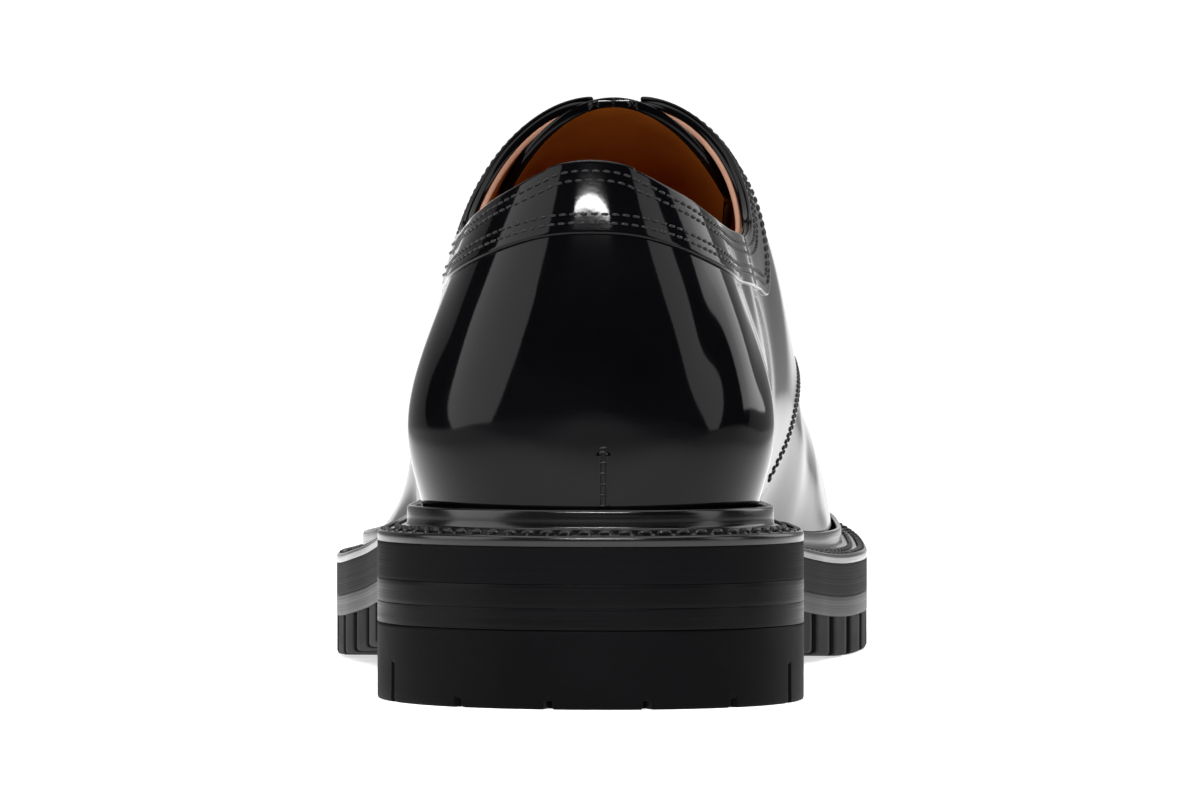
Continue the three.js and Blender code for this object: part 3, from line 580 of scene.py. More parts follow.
def polished_leather():
    """Nearly black: a faint cloud of tone, long soft waves in the gloss, and fine pores."""
    plain = {"Coat Weight": 0.08, "Coat Roughness": 0.05, "Specular IOR Level": 0.12}
    finish, nodes, links, shader = new_finish("polished_leather", plain)
    place = coordinates(nodes, links)
    cloud = noise(nodes, links, place, 40)
    tone = two_tone(nodes, links, cloud, (0.0013, 0.0012, 0.0016), (0.0022, 0.002, 0.0026))
    links.new(tone, shader.inputs["Base Color"])
    links.new(spread(nodes, links, noise(nodes, links, place, 55, 4), 0.07, 0.09), shader.inputs["Roughness"])
    bump(nodes, links, shader, noise(nodes, links, place, 75, 2), 0.00003)
    pores = nodes.new("ShaderNodeTexVoronoi")
    pores.inputs["Scale"].default_value = 1300
    links.new(place, pores.inputs["Vector"])
    bump(nodes, links, shader, pores.outputs["Distance"], 0.000002)
    return finish

def waxed_edge(name, dark, light, rough, gloss):
    """Layer lines run round the shoe: noise stretched a long way along the edge's own UV."""
    plain = {"Coat Weight": gloss / 4, "Coat Roughness": 0.1, "Specular IOR Level": gloss}
    finish, nodes, links, shader = new_finish(name, plain)
    place = coordinates(nodes, links, (26, 2300, 1), "UV")
    layers = noise(nodes, links, place, 1.0, 3, 0.6)
    links.new(two_tone(nodes, links, layers, dark, light), shader.inputs["Base Color"])
    links.new(spread(nodes, links, layers, rough, rough + 0.14), shader.inputs["Roughness"])
    bump(nodes, links, shader, layers, LAYER_DEPTH)
    return finish

def sole_rubber():
    """Satin black rubber: one cloud drives tone and roughness, and a fine grain lies on top."""
    finish, nodes, links, shader = new_finish("sole_rubber", {"Specular IOR Level": 0.05})
    place = coordinates(nodes, links)
    cloud = noise(nodes, links, place, 60, 4)
    tone = two_tone(nodes, links, cloud, (0.0012, 0.0011, 0.0015), (0.002, 0.0018, 0.0023))
    links.new(tone, shader.inputs["Base Color"])
    links.new(spread(nodes, links, cloud, 0.52, 0.62), shader.inputs["Roughness"])
    bump(nodes, links, shader, noise(nodes, links, place, 1800, 2), 0.000018)
    return finish

def lining_leather(name, dark, light):
    """Bare tan leather: soft blotches, and a fine open grain that is felt more than seen."""
    finish, nodes, links, shader = new_finish(name, {"Specular IOR Level": 0.06})
    place = coordinates(nodes, links)
    tone = two_tone(nodes, links, noise(nodes, links, place, 45, 5), dark, light)
    links.new(tone, shader.inputs["Base Color"])
    links.new(spread(nodes, links, noise(nodes, links, place, 200, 3), 0.6, 0.75), shader.inputs["Roughness"])
    bump(nodes, links, shader, noise(nodes, links, place, 900, 4), 0.00005)
    return finish

def braided_cord():
    """Waxed cord: two families of diagonal ridges round the cord's own UV."""
    plain = {"Specular IOR Level": 0.4, "Base Color": (0.006, 0.006, 0.007, 1)}
    finish, nodes, links, shader = new_finish("lace_cord", plain)
    heights = []
    for turn in (0.78, -0.78):
        place = coordinates(nodes, links, (1, 1, 1), "UV")
        place.node.inputs["Rotation"].default_value = (0, 0, turn)
        wave = nodes.new("ShaderNodeTexWave")
        wave.inputs["Scale"].default_value = 420
        links.new(place, wave.inputs["Vector"])
        heights.append(wave.outputs["Fac"])
    weave = nodes.new("ShaderNodeMath")
    weave.operation = "MAXIMUM"
    links.new(heights[0], weave.inputs[0])
    links.new(heights[1], weave.inputs[1])
    links.new(spread(nodes, links, weave.outputs[0], 0.7, 0.5, 0, 1), shader.inputs["Roughness"])
    bump(nodes, links, shader, weave.outputs[0], 0.00018)
    return finish

def waxed_thread():
    """Dark thread: its twist is one fine noise in tone, roughness and height."""
    plain = {"Specular IOR Level": 0.3, "Coat Weight": 0.1, "Coat Roughness": 0.2}
    finish, nodes, links, shader = new_finish("waxed_thread", plain)
    place = coordinates(nodes, links)
    twist = noise(nodes, links, place, 2600, 2)
    tone = two_tone(nodes, links, twist, (0.003, 0.003, 0.0035), (0.006, 0.006, 0.007))
    links.new(tone, shader.inputs["Base Color"])
    links.new(spread(nodes, links, twist, 0.26, 0.46), shader.inputs["Roughness"])
    bump(nodes, links, shader, twist, 0.00006)
    return finish

LEATHER = polished_leather()
LINING = lining_leather("tan_lining", (0.36, 0.105, 0.012), (0.46, 0.15, 0.02))
RAW_EDGE = lining_leather("raw_edge", (0.3, 0.15, 0.1), (0.42, 0.23, 0.16))
MIDSOLE_EDGE, WELT_EDGE, LIFT_EDGE = (waxed_edge(*row) for row in (
    ("waxed_midsole_edge", (0.0018, 0.0017, 0.0021), (0.0036, 0.0033, 0.004), 0.5, 0.04),
    ("waxed_welt", (0.0015, 0.0014, 0.0018), (0.0028, 0.0026, 0.003), 0.16, 0.4),
    ("waxed_heel_lift", (0.0018, 0.0017, 0.0021), (0.003, 0.0028, 0.0034), 0.3, 0.06),
))
RUBBER = sole_rubber()
CORD = braided_cord()
THREAD = waxed_thread()
print("finishes:", len(bpy.data.materials))

# %% [markdown]
# ## Pattern lines
# The pattern pieces of a derby are cut by a few lines: the topline, the lower edge of the collar
# band, the front edge of the quarter and the straight facing beside the tongue. Each becomes a
# path in the ring chart, and a panel is ruled from its lower path to its upper one.

# %% Pattern lines in the ring chart
THROAT_WIDTH, THROAT_NARROWING, THROAT_START = 9.5, 0.15, 0.3
FACING_TOP, FACING_END, FACING_GAP = 0.385, 0.645, 0.2
FEATHER_UP = 0.02

def softened(values, reach=2):
    """Average over a few neighbours; the ends stay as they are."""
    window = np.ones(2 * reach + 1) / (2 * reach + 1)
    inside = np.convolve(values, window, "valid")
    return np.concatenate([values[:reach], inside, values[-reach:]])

def joined(first, second):
    """Two paths as one: their lengths and their rises, end to end."""
    return tuple(np.concatenate(pair) for pair in zip(first, second))

def facing_half(y):
    """Half the gap between the facings, which narrows a little towards the toe."""
    return THROAT_WIDTH / 2 * (1 - THROAT_NARROWING * share(y))

def edge_path(rows, along, side):
    """A side-view edge as lengths and rises: its height is turned into an angle on that side."""
    y = place(along)
    return side * length_of(y), up_of(angle_of_height(y, edge_height(rows, y)))

def collar_path(rows, along, side):
    """An edge of the collar: from the throat's start on it stays outside the facing's line."""
    length, up = edge_path(rows, along, side)
    held = np.minimum(up, facing_path(along, side)[1])
    return length, np.where(along > THROAT_START, held, up)

def facing_path(along, side):
    """The facing's edge: a line beside the crown, as lengths and rises."""
    y = place(along)
    angle = angle_of_x(y, crown_line(y) + side * (facing_half(y) + FACING_GAP))
    angle = np.where(side < 0, angle, np.pi - angle)
    return side * length_of(y), up_of(angle)

def top_path(count_edge, count_facing, side, facing_stop=FACING_END):
    """Topline from the back seam to the facing's corner, then down the facing."""
    edge = collar_path(TOPLINE, np.linspace(share(BACK_Y), FACING_TOP, count_edge), side)
    down = facing_path(np.linspace(FACING_TOP, facing_stop, count_facing + 1)[1:], side)
    length, up = joined(edge, down)
    return softened(length, 10), softened(up, 10)

def even_path(chart, a, b, count):
    """Spaces a path's points evenly in length."""
    run = run_along(chart(a, b))
    at = np.linspace(0, run[-1], count)
    return np.interp(at, run, a), np.interp(at, run, b)

def both_sides(path_of_side):
    """One path from the outer side round the back seam to the inner side."""
    outer, inner = path_of_side(-1), path_of_side(1)
    return joined([values[::-1] for values in outer], [values[1:] for values in inner])

def ruled(low, high, steps):
    """Grid of straight lines between two paths of the ring chart, rows along the paths."""
    v = np.linspace(0, 1, steps)
    a = low[0][:, None] * (1 - v) + high[0][:, None] * v
    b = low[1][:, None] * (1 - v) + high[1][:, None] * v
    return a, b

def wrapped(paths_of_side, steps):
    """Grid of a panel that runs from one facing round the back to the other."""
    sides = {side: paths_of_side(side) for side in (-1, 1)}
    low, high = (both_sides(lambda side: sides[side][edge]) for edge in (0, 1))
    return ruled(low, high, steps)

print("gap at the top of the throat, mm:", round(2 * float(facing_half(place(FACING_TOP))), 1))

# %% [markdown]
# ## Quarter, collar band and lining
# The quarter is one wrap-around piece: this shoe has no seam up the back above the counter. It
# laps over the vamp in front and stands 0.9 mm proud. The collar band is a second, thin layer
# over it, and the lining shows tan inside with its raw edge at the topline.

# %% Quarter
LINING_DEPTH, PANEL_GAP = 0.8, 0.02
QUARTER_START, QUARTER_FRONT = 0.408, 0.409

def quarter_low(side, count):
    """The feather from the back to the waist, then the front edge up to the facing's end."""
    waist = length_of(place(QUARTER_START))
    feather_part = side * np.linspace(0, waist, count), np.full(count, FEATHER_UP)
    front = edge_path(QUARTER_EDGE, np.linspace(QUARTER_FRONT, FACING_END, 200), side)
    front = even_path(wall_chart, *front, count)
    keep = front[1] > FEATHER_UP + 0.01
    return joined(feather_part, [values[keep] for values in front])

def matched(path, count, corner_share, corner):
    """Resamples a path so that its corner falls at a given share of the points."""
    before = int(count * corner_share)
    first = even_path(wall_chart, *(values[:corner] for values in path), before + 1)
    second = even_path(wall_chart, *(values[corner - 1:] for values in path), count - before)
    return joined([values[:-1] for values in first], second)

def quarter_paths(side, count=250):
    """Lower and upper path of one side, with both corners at the same share of the points."""
    low = matched(quarter_low(side, 170), count, 0.6, 170)
    high = matched(top_path(400, 260, side), count, 0.6, 400)
    return low, high

points, normals = leather(wall_chart, *wrapped(quarter_paths, 70), QUARTER_STEP)
sheet, faces, which = sheet_of_leather(points, normals, QUARTER_STEP + LINING_DEPTH - PANEL_GAP)
quarter = make_piece("quarter", sheet, faces, [LEATHER, LEATHER, LINING], which, "polished_leather")

# %% Collar band
BAND_STOP, ON_BAND = 0.44, QUARTER_STEP + BAND_STEP

def band_paths(side, count=280):
    """The band's lower edge and the topline above it, both with even points."""
    low = collar_path(BAND_EDGE, np.linspace(share(BACK_Y), BAND_STOP - 0.002, 400), side)
    low = even_path(wall_chart, *low, count)
    high = even_path(wall_chart, *top_path(400, 200, side, BAND_STOP), count)
    return low, high

points, normals = leather(wall_chart, *wrapped(band_paths, 40), ON_BAND)
sheet, faces, which = sheet_of_leather(points, normals, BAND_STEP + 0.2)
make_piece("collar_band", sheet, faces, [LEATHER, LEATHER, LEATHER], which, "polished_leather")

# %% [markdown]
# ## Vamp, lining and tongue
# The vamp closes over the toes and parts into two lobes. Under the quarters it is cut back along
# a curve, where the tan quarter lining takes over on the inside. The tongue lies below both.

# %% Vamp
SPLIT_START, SPLIT_THIN = 185.0, 0.86
BACK_CUT_LIFT = np.array([0, 0.24, 0.41, 0.59, 0.78, 0.9, 1.0])
BACK_CUT_Y = np.array([72, 80, 93, 110, 127, 136, 140.0])

def back_cut():
    """The vamp's hidden back edge, as places along the shoe and rises."""
    lift = np.linspace(0, 1, 200)
    y = np.interp(lift, BACK_CUT_LIFT, BACK_CUT_Y)
    return y, up_of(np.arcsin(lift ** (column(LAST, "shoulder", share(y)) / 2)))

cut_y, cut_up = back_cut()

def over_samples(count, middle=1.04, width=0.09, extra=3.0):
    """Samples across the vamp, closer together over the split."""
    fine = np.linspace(0.02, 1.98, 4000)
    density = 1 + extra * bell(fine - middle, width)
    run = np.cumsum(density)
    return np.interp(np.linspace(run[0], run[-1], count), run, fine)

over = over_samples(230)
up = np.where(over < 1, over, 2 - over)
vamp_back = length_of(np.interp(up, cut_up, cut_y))
v = np.linspace(0, 1, 150)
lengths = vamp_back[:, None] * (1 - v) + (FEATHER_LENGTH - 0.4) * v
points, normals = leather(crown_chart, over[:, None], lengths)
near_split = bell(points[..., 0] - SPLIT_PLACE, 7.5) * smoothstep(points[..., 1], 180, 200)
sheet, faces, which = sheet_of_leather(points, normals, WALL * (1 - SPLIT_THIN * near_split))
face_x, face_y, _ = sheet[faces].mean(1).T
in_split = (np.abs(face_x - SPLIT_PLACE) < 9) & (face_y > SPLIT_START)
which = np.where(in_split, 0, which)
vamp = make_piece("vamp", sheet, faces, [LEATHER, LEATHER, LINING], which, "polished_leather")

# %% Quarter lining
LINING_LAP, LINING_STOP = 0.4, 0.592

def lining_low(side):
    """Feather line to the waist, then the vamp's back edge up to the throat."""
    waist = length_of(cut_y[0]) - LINING_LAP
    along = side * np.linspace(0, waist, 150), np.full(150, FEATHER_UP)
    top = cut_up < up_of(np.pi / 2 - 0.13)
    rising = side * (length_of(cut_y[top]) - LINING_LAP), np.maximum(cut_up[top], FEATHER_UP)
    return joined(along, rising)

def lining_paths(side, count=210):
    """Lower and upper path of one side of the lining, their corners at nearly the same share."""
    low = matched(lining_low(side), count, 0.55, 150)
    high = matched(top_path(300, 200, side, LINING_STOP), count, 0.6, 300)
    return low, high

points, normals = leather(wall_chart, *wrapped(lining_paths, 60), -LINING_DEPTH)
sheet, faces, which = sheet_of_leather(points, normals, WALL - LINING_DEPTH)
lining = make_piece(
    "quarter_lining", sheet, faces, [LINING, RAW_EDGE, LINING], which, "lining",
    stands_for=("upper",))

# %% Tongue
TONGUE_FROM, TONGUE_TO, TONGUE_THICK = place(0.35), place(0.655), 2.0
TONGUE_HALF, TONGUE_TAPER, TONGUE_ROUND = 25.0, 0.2, 12.0

def tongue_grid(rows=70, cols=110):
    """A strip over the crown whose half width narrows forward; its top end is rounded."""
    y = TONGUE_FROM + (TONGUE_TO - TONGUE_FROM) * np.linspace(0, 1, cols) ** 1.6
    half = TONGUE_HALF * (1 - TONGUE_TAPER * (y - TONGUE_FROM) / (TONGUE_TO - TONGUE_FROM))
    half = half * closing(y - TONGUE_FROM + 0.12, TONGUE_ROUND, 2.2)
    left = over_of(angle_of_x(y, crown_line(y) - half))
    right = over_of(angle_of_x(y, crown_line(y) + half))
    across = np.linspace(0, 1, rows)[:, None]
    return left * (1 - across) + right * across, np.broadcast_to(length_of(y), (rows, cols))

points, normals = leather(crown_chart, *tongue_grid(), -WALL - SEAM)
sheet, faces, which = sheet_of_leather(points, normals, TONGUE_THICK)
make_piece(
    "tongue_leather", sheet, faces, [LEATHER, LEATHER, LINING], which, "polished_leather",
    stands_for=("tongue",))

# %% [markdown]
# ## Eyelets and lace
# Ten plain punched holes, no rings. Pins along the leather's normal are cut out of quarter, vamp
# and lining. Each bar of the straight lacing comes up out of one hole, lies over both facings and
# goes down into the hole opposite, where its hidden end stops.

# %% Eyelet holes
LACE_RADIUS, EYELET_RADIUS, EYELET_SETBACK, LACE_ROWS = 1.5, 2.1, 10.5, 5
LACE_PRESS, LACE_DIP = 0.15, 1.7
ROW_Y = np.linspace(place(0.43), place(FACING_END) - EYELET_SETBACK, LACE_ROWS)

def eyelet(y, side):
    """Middle of a hole on the last and the leather's normal there."""
    angle = angle_of_x(y, crown_line(y) + side * (facing_half(y) + 0.86 * EYELET_SETBACK))
    return leather(crown_chart, over_of(angle), length_of(y))

def tube(path, radius, sides=20, up=(0, 0, 1)):
    """Rings square to a path; the UV holds the length along it and the length round it, in metres."""
    along = unit(np.gradient(path, axis=0))
    across = unit(np.cross(along, np.broadcast_to(np.asarray(up, float), along.shape)))
    lift = np.cross(across, along)
    turn = np.linspace(0, 2 * np.pi, sides + 1)[None, :, None]
    points = path[:, None] + radius * (across[:, None] * np.cos(turn) + lift[:, None] * np.sin(turn))
    run = run_along(path) * MM
    uv = np.stack(np.broadcast_arrays(run[:, None], turn[..., 0] * radius * MM), -1)
    return points, uv

def capped(points, uv):
    """Adds a ring at each end that shrinks onto the middle, so a tube is closed."""
    ends = [points[end].mean(1, keepdims=True) for end in (slice(0, 1), slice(-1, None))]
    first, last = (np.broadcast_to(end, points[:1].shape) for end in ends)
    return np.concatenate([first, points, last]), np.concatenate([uv[:1], uv, uv[-1:]])

pins, pin_faces = [], []
for side in (-1, 1):
    for centre_of_hole, normal in zip(*eyelet(ROW_Y, side)):
        path = centre_of_hole + normal * np.linspace(-4.5, 3.5, 3)[:, None]
        ring_points, _ = capped(*tube(path, EYELET_RADIUS, 28, up=(0, 1, 0)))
        pin_faces.append(grid_faces(*ring_points.shape[:2], start=sum(len(p) for p in pins)))
        pins.append(ring_points.reshape(-1, 3))
cutter_mesh = bpy.data.meshes.new("pins")
pin_points = np.concatenate(pins) * MM
cutter_mesh.from_pydata(pin_points.tolist(), [], np.concatenate(pin_faces).tolist())
cleaned(cutter_mesh)
cutter = bpy.data.objects.new("pins", cutter_mesh)
bpy.context.scene.collection.objects.link(cutter)

def punch(piece):
    """Cuts the pins out of a piece and keeps the result as its mesh."""
    before = len(piece.data.polygons)
    cut = piece.modifiers.new("holes", "BOOLEAN")
    cut.operation, cut.object, cut.solver = "DIFFERENCE", cutter, "EXACT"
    evaluated = piece.evaluated_get(bpy.context.evaluated_depsgraph_get())
    result = bpy.data.meshes.new_from_object(evaluated)
    piece.modifiers.clear()
    piece.data = result
    print(piece.name, "faces before and after:", before, len(result.polygons))

for piece in (quarter, vamp, lining):
    punch(piece)
bpy.data.objects.remove(cutter)

# %% Lace bars
def smoothed(path, passes):
    """Rounds the corners of a path by averaging neighbours; the ends stay."""
    for _ in range(passes):
        inside = (path[:-2] + 2 * path[1:-1] + path[2:]) / 4
        path = np.concatenate([path[:1], inside, path[-1:]])
    return path

def resampled(path, count):
    """Points at even lengths along a path, on straight lines between its own points."""
    run = run_along(path)
    at = np.linspace(0, run[-1], count)
    return np.stack([np.interp(at, run, path[:, k]) for k in range(3)], -1)

def lace_path(y):
    """Up the first hole, over the facings on the crown's curve, and down the second hole."""
    (outer, outer_normal), (inner, inner_normal) = eyelet(y, -1), eyelet(y, 1)
    start, stop = (over_of(angle_of_x(y, x)) for x in (outer[0] + 1.0, inner[0] - 1.0))
    over, height = np.linspace(start, stop, 40), QUARTER_STEP + LACE_RADIUS - LACE_PRESS
    on_top, _ = leather(crown_chart, over, length_of(y), height)
    rows = [outer + outer_normal * h for h in (-LACE_DIP, 0.4, 1.2)] + list(on_top)
    rows += [inner + inner_normal * h for h in (1.2, 0.4, -LACE_DIP)]
    return resampled(smoothed(resampled(np.array(rows), 90), 20), 120)

for number, y in enumerate(ROW_Y, 1):
    path = lace_path(y)
    points, uv = capped(*tube(path, LACE_RADIUS, 24, up=(0, 1, 0)))
    stands_for = (f"lace_bar_{number}",)
    grid_piece(f"lace_{number}", points, CORD, slot="lace_cord", uv=uv, stands_for=stands_for)
    print("length of the bar, mm:", round(run_along(path)[-1], 1))

# %% [markdown]
# ## Stitches
# A seam is a row of short waxed threads, pulled into the leather at both ends. Each row follows
# a pattern line at a distance over the leather, so it keeps its place when the panel changes.

# %% Rows of thread
def shifted(a, b, distance, chart=wall_chart, steps=3):
    """Moves a path sideways over the leather, to the left of its run, in a few small steps.
    Each step solves for the two coordinates whose chart steps add up to the move."""
    for _ in range(steps):
        da, db = chart_steps(chart, a, b)
        along = unit(np.gradient(chart(a, b), axis=0))
        side = np.cross(unit(np.cross(da, db)), along) * distance / steps
        aa, ab, bb = (da * da).sum(-1), (da * db).sum(-1), (db * db).sum(-1)
        on_a, on_b = (da * side).sum(-1), (db * side).sum(-1)
        area = np.maximum(aa * bb - ab**2, 1e-9)
        a, b = a + (on_a * bb - on_b * ab) / area, b + (on_b * aa - on_a * ab) / area
        a, b = softened(a), softened(b)
    return a, b

def thread_shape(rings=7, sides=6):
    """One stitch along X from -1 to 1: full in the middle, thin and dipping at its ends."""
    t = np.linspace(-1, 1, rings)[:, None]
    turn = np.linspace(0, 2 * np.pi, sides, endpoint=False)[None, :]
    radius = np.sqrt(np.maximum(1 - np.abs(t) ** 3, 0.004))
    return np.stack(np.broadcast_arrays(t, radius * np.cos(turn), radius * np.sin(turn) - 0.9 * t**4), -1)

THREAD_SHAPE = thread_shape()
print("points of one stitch:", THREAD_SHAPE.shape[:2])

def many_faces(faces, count, size):
    """The faces of one body, repeated for a count of bodies of as many points each."""
    return (faces[None] + (np.arange(count) * size)[:, None, None]).reshape(-1, faces.shape[1])

def lay_threads(points, along, normals, length, radius):
    """Copies the stitch to each place, with its long side along and its back on the leather."""
    side = np.cross(normals, along)
    x, y, z = (THREAD_SHAPE[..., k].reshape(1, -1, 1) for k in range(3))
    out = points[:, None] + along[:, None] * x * length / 2
    out = out + side[:, None] * y * radius + normals[:, None] * z * radius
    rings, sides = THREAD_SHAPE.shape[:2]
    one = grid_faces(rings, sides, wrap_cols=True)
    faces = many_faces(one, len(points), rings * sides)
    return out.reshape(-1, 3), faces

def stitch_row(a, b, offset, pitch=1.9, length=1.6, radius=0.27, chart=wall_chart, skip=1.5):
    """Stitches at a pitch along a path of the chart, proud of the leather at an offset."""
    middle, _ = leather(chart, a, b, offset)
    run = run_along(middle)
    at = np.arange(skip, run[-1] - skip, pitch)
    (points, normals), (ahead, _) = (
        leather(chart, np.interp(s, run, a), np.interp(s, run, b), offset + 0.3 * radius)
        for s in (at, at + 0.3))
    return lay_threads(points, unit(ahead - points), normals, length, radius)

def seam_piece(name, rows):
    """Several rows of stitches as one piece."""
    points = np.concatenate([row[0] for row in rows])
    starts = np.cumsum([0] + [len(row[0]) for row in rows[:-1]])
    faces = np.concatenate([row[1] + start for row, start in zip(rows, starts)])
    return make_piece(name, points, faces, [THREAD])

# %% Seams of collar band and quarter
def topline_of(side):
    """The topline with points close enough for stitches."""
    return even_path(wall_chart, *top_path(400, 200, side, BAND_STOP), 500)

top, band_low = both_sides(topline_of), both_sides(lambda side: band_paths(side)[0])
seam_piece("topline_stitches", [stitch_row(*shifted(*top, -d), ON_BAND) for d in (1.7, 3.4)])
seam_piece("band_stitches", [stitch_row(*shifted(*band_low, d), ON_BAND) for d in (1.6, 3.2)])

quarter_rows = []
for side in (-1, 1):
    front = edge_path(QUARTER_EDGE, np.linspace(0.414, FACING_END - 0.006, 300), side)
    front = even_path(wall_chart, *front, 300)
    facing = facing_path(np.linspace(0.45, FACING_END - 0.012, 120), side)
    facing = even_path(wall_chart, *facing, 200)
    for d in (1.7, 3.4):
        quarter_rows.append(stitch_row(*shifted(*front, side * d), QUARTER_STEP))
    quarter_rows.append(stitch_row(*shifted(*facing, -side * 1.8), QUARTER_STEP))
seam_piece("quarter_stitches", quarter_rows)

# %% Back seam
SEAM_LENGTH, SEAM_HALF, SEAM_PLACE = 14.0, 2.2, 1.8

def back_seam():
    """Two soft lips that swell out of the leather, a groove between them, and a tack on top."""
    height = np.linspace(0.4, SEAM_LENGTH, 60)
    across = np.linspace(-SEAM_HALF, SEAM_HALF, 31)
    up = up_of(angle_of_height(np.full(60, BACK_Y), feather(BACK_Y) + height))
    closed = smoothstep(height, SEAM_LENGTH - 2.5, SEAM_LENGTH - 1)[None, :]
    lips = 0.72 * bell(across, 1.2)[:, None] - (1.05 - 0.3 * closed) * bell(across, 0.34)[:, None]
    ends = smoothstep(height, 0.4, 1.5) * (1 - smoothstep(height, SEAM_LENGTH - 1.2, SEAM_LENGTH))
    profile = lips * ends[None, :] - 0.28
    return leather(wall_chart, SEAM_PLACE + across[:, None], up[None, :], QUARTER_STEP + profile)

points, normals = back_seam()
sheet, faces, which = sheet_of_leather(points, normals, 0.5, 2)
make_piece("back_seam", sheet, faces, [LEATHER], np.zeros(len(faces)), "polished_leather")

def seam_ticks():
    """Short stitches across the seam, slanted by turns, and two at the tack."""
    height = np.append(np.arange(2.0, SEAM_LENGTH - 1.5, 1.9), [SEAM_LENGTH - 0.7, SEAM_LENGTH + 0.1])
    up = up_of(angle_of_height(np.full(len(height), BACK_Y), feather(BACK_Y) + height))
    points, normals = leather(wall_chart, np.full(len(height), SEAM_PLACE), up, QUARTER_STEP + 0.2)
    slant = np.where(np.arange(len(height)) % 2, 0.12, -0.12)
    tangent = unit(np.cross(normals, np.array([0, 0, 1.0])) * -1)
    rising = np.cross(normals, tangent)
    along = unit(tangent * np.cos(slant)[:, None] + rising * np.sin(slant)[:, None])
    return lay_threads(points, along, normals, 1.5, 0.22)

seam_piece("back_seam_stitches", [seam_ticks()])

# %% [markdown]
# ## The sole
# Welt, midsole, plate and heel lift are layers with one outline. Each is a profile of insets and
# heights carried round the sole's edge. Its face is closed by shrinking the last ring towards
# the middle, so a layer is one closed body.

# %% Rings round the sole
MIDDLE = np.array([-3.0, 108.0])

def ring(columns, base, middle=MIDDLE, line=plan_line):
    """Columns of (inset, share kept from the middle, height over the base), round the edge.
    The second result is a UV in metres: length round the edge and length along the profile."""
    turns = np.append(EDGE_TURNS, 2.0)
    inset, kept, height = (np.array(values, float) for values in zip(*columns))
    plan = line(turns[:, None], inset[None, :])
    plan = middle + (plan - middle) * kept[None, :, None]
    points = np.concatenate([plan, (base(plan[..., 1]) + height)[..., None]], -1)
    u, v = run_along(points[:, 0]) * MM, run_along(points[len(points) // 2]) * MM
    return points, np.stack(np.broadcast_arrays(u[:, None], v[None, :]), -1)

def edge_wall(bottom, top, radius, steps):
    """Profile of a layer: bottom face, rounded lower edge, wall, rounded upper edge, top face."""
    turn = np.linspace(0, np.pi / 2, 4)
    rows = [(1.0, 0.0, bottom), (1.0, 0.5, bottom), (2.0, 1.0, bottom)]
    rows += [(radius * (1 - np.sin(t)), 1.0, bottom + radius * (1 - np.cos(t))) for t in turn]
    rows += [(0.0, 1.0, h) for h in np.linspace(bottom + radius, top - radius, steps)[1:-1]]
    rows += [(radius * (1 - np.cos(t)), 1.0, top - radius * (1 - np.sin(t))) for t in turn]
    return rows + [(2.0, 1.0, top), (1.0, 0.5, top), (1.0, 0.0, top)]

# %% Midsole and outsole plate
LAYER_GAP, LAYER_ROUND = 0.04, 0.12
profile = edge_wall(OUTSOLE, OUTSOLE + MIDSOLE - LAYER_GAP, LAYER_ROUND, 12)
points, uv = ring(profile, rise)
grid_piece(
    "midsole_leather", points, MIDSOLE_EDGE, slot="edge_leather", uv=uv, stands_for=("midsole",))
points, uv = ring(edge_wall(0.0, OUTSOLE - LAYER_GAP, LAYER_ROUND, 6), rise)
grid_piece(
    "outsole_plate", points, LIFT_EDGE, slot="sole_rubber", uv=uv, stands_for=("outsole",))

# %% Welt with its standing rib
RIB_INSET, RIB_THICK, RIB_HEIGHT, EDGE_DROP = 5.4, 1.2, 3.4, 1.3
LIP_REACH, LIP_RISE, WELT_INNER = 0.9, 0.95, 12.4

def lip_point(t):
    """A quarter of an ellipse from the wall to the top."""
    return LIP_REACH * (1 - np.cos(t)), 1.0, -EDGE_DROP + 0.75 * (np.sin(t) - 1) + 0.35

def top_point(inset):
    """The top slopes up to the rib, with a bell-shaped channel for the thread."""
    slope = -LIP_RISE + LIP_RISE * (inset - LIP_REACH) / (RIB_INSET - LIP_REACH)
    return inset, 1.0, slope - 0.35 * bell(inset - 2.9, 1.3)

def head_point(t):
    """The rib's round head: half a circle."""
    half = RIB_THICK / 2
    return RIB_INSET + half - half * np.cos(t), 1.0, RIB_HEIGHT - half + half * np.sin(t)

def welt_profile():
    """Wall, rounded lip, a top that slopes up to the rib, and the rib with its round head."""
    bottom = -WELT
    wall = [(WELT_INNER, 1.0, bottom), (0.12, 1.0, bottom), (0.0, 1.0, bottom + 0.12)]
    lip = [lip_point(t) for t in np.linspace(0, np.pi / 2, 6)]
    top = [top_point(inset) for inset in np.linspace(1.4, RIB_INSET - 0.1, 14)]
    foot = [(RIB_INSET, 1.0, 0.4), (RIB_INSET, 1.0, 1.4)]
    head = [head_point(t) for t in np.linspace(0, np.pi, 9)]
    behind = [(RIB_INSET + RIB_THICK, 1.0, 0.3), (8.5, 1.0, -0.6)]
    behind += [(WELT_INNER, 1.0, -0.6), (WELT_INNER, 1.0, bottom)]
    return wall + lip + top + foot + head + behind

points, uv = ring(welt_profile(), seat)
grid_piece("welt_leather", points, WELT_EDGE, slot="edge_leather", uv=uv, stands_for=("welt",))

# %% Welt stitches and ticks
WELT_STITCH_INSET, WELT_PITCH = 3.6, 3.7
WELT_COUNT = int(EDGE_LENGTH * 0.97 / WELT_PITCH)
WELT_TURNS = even_turns(WELT_COUNT + 1)[0][:-1]
print("stitches round the welt:", WELT_COUNT)

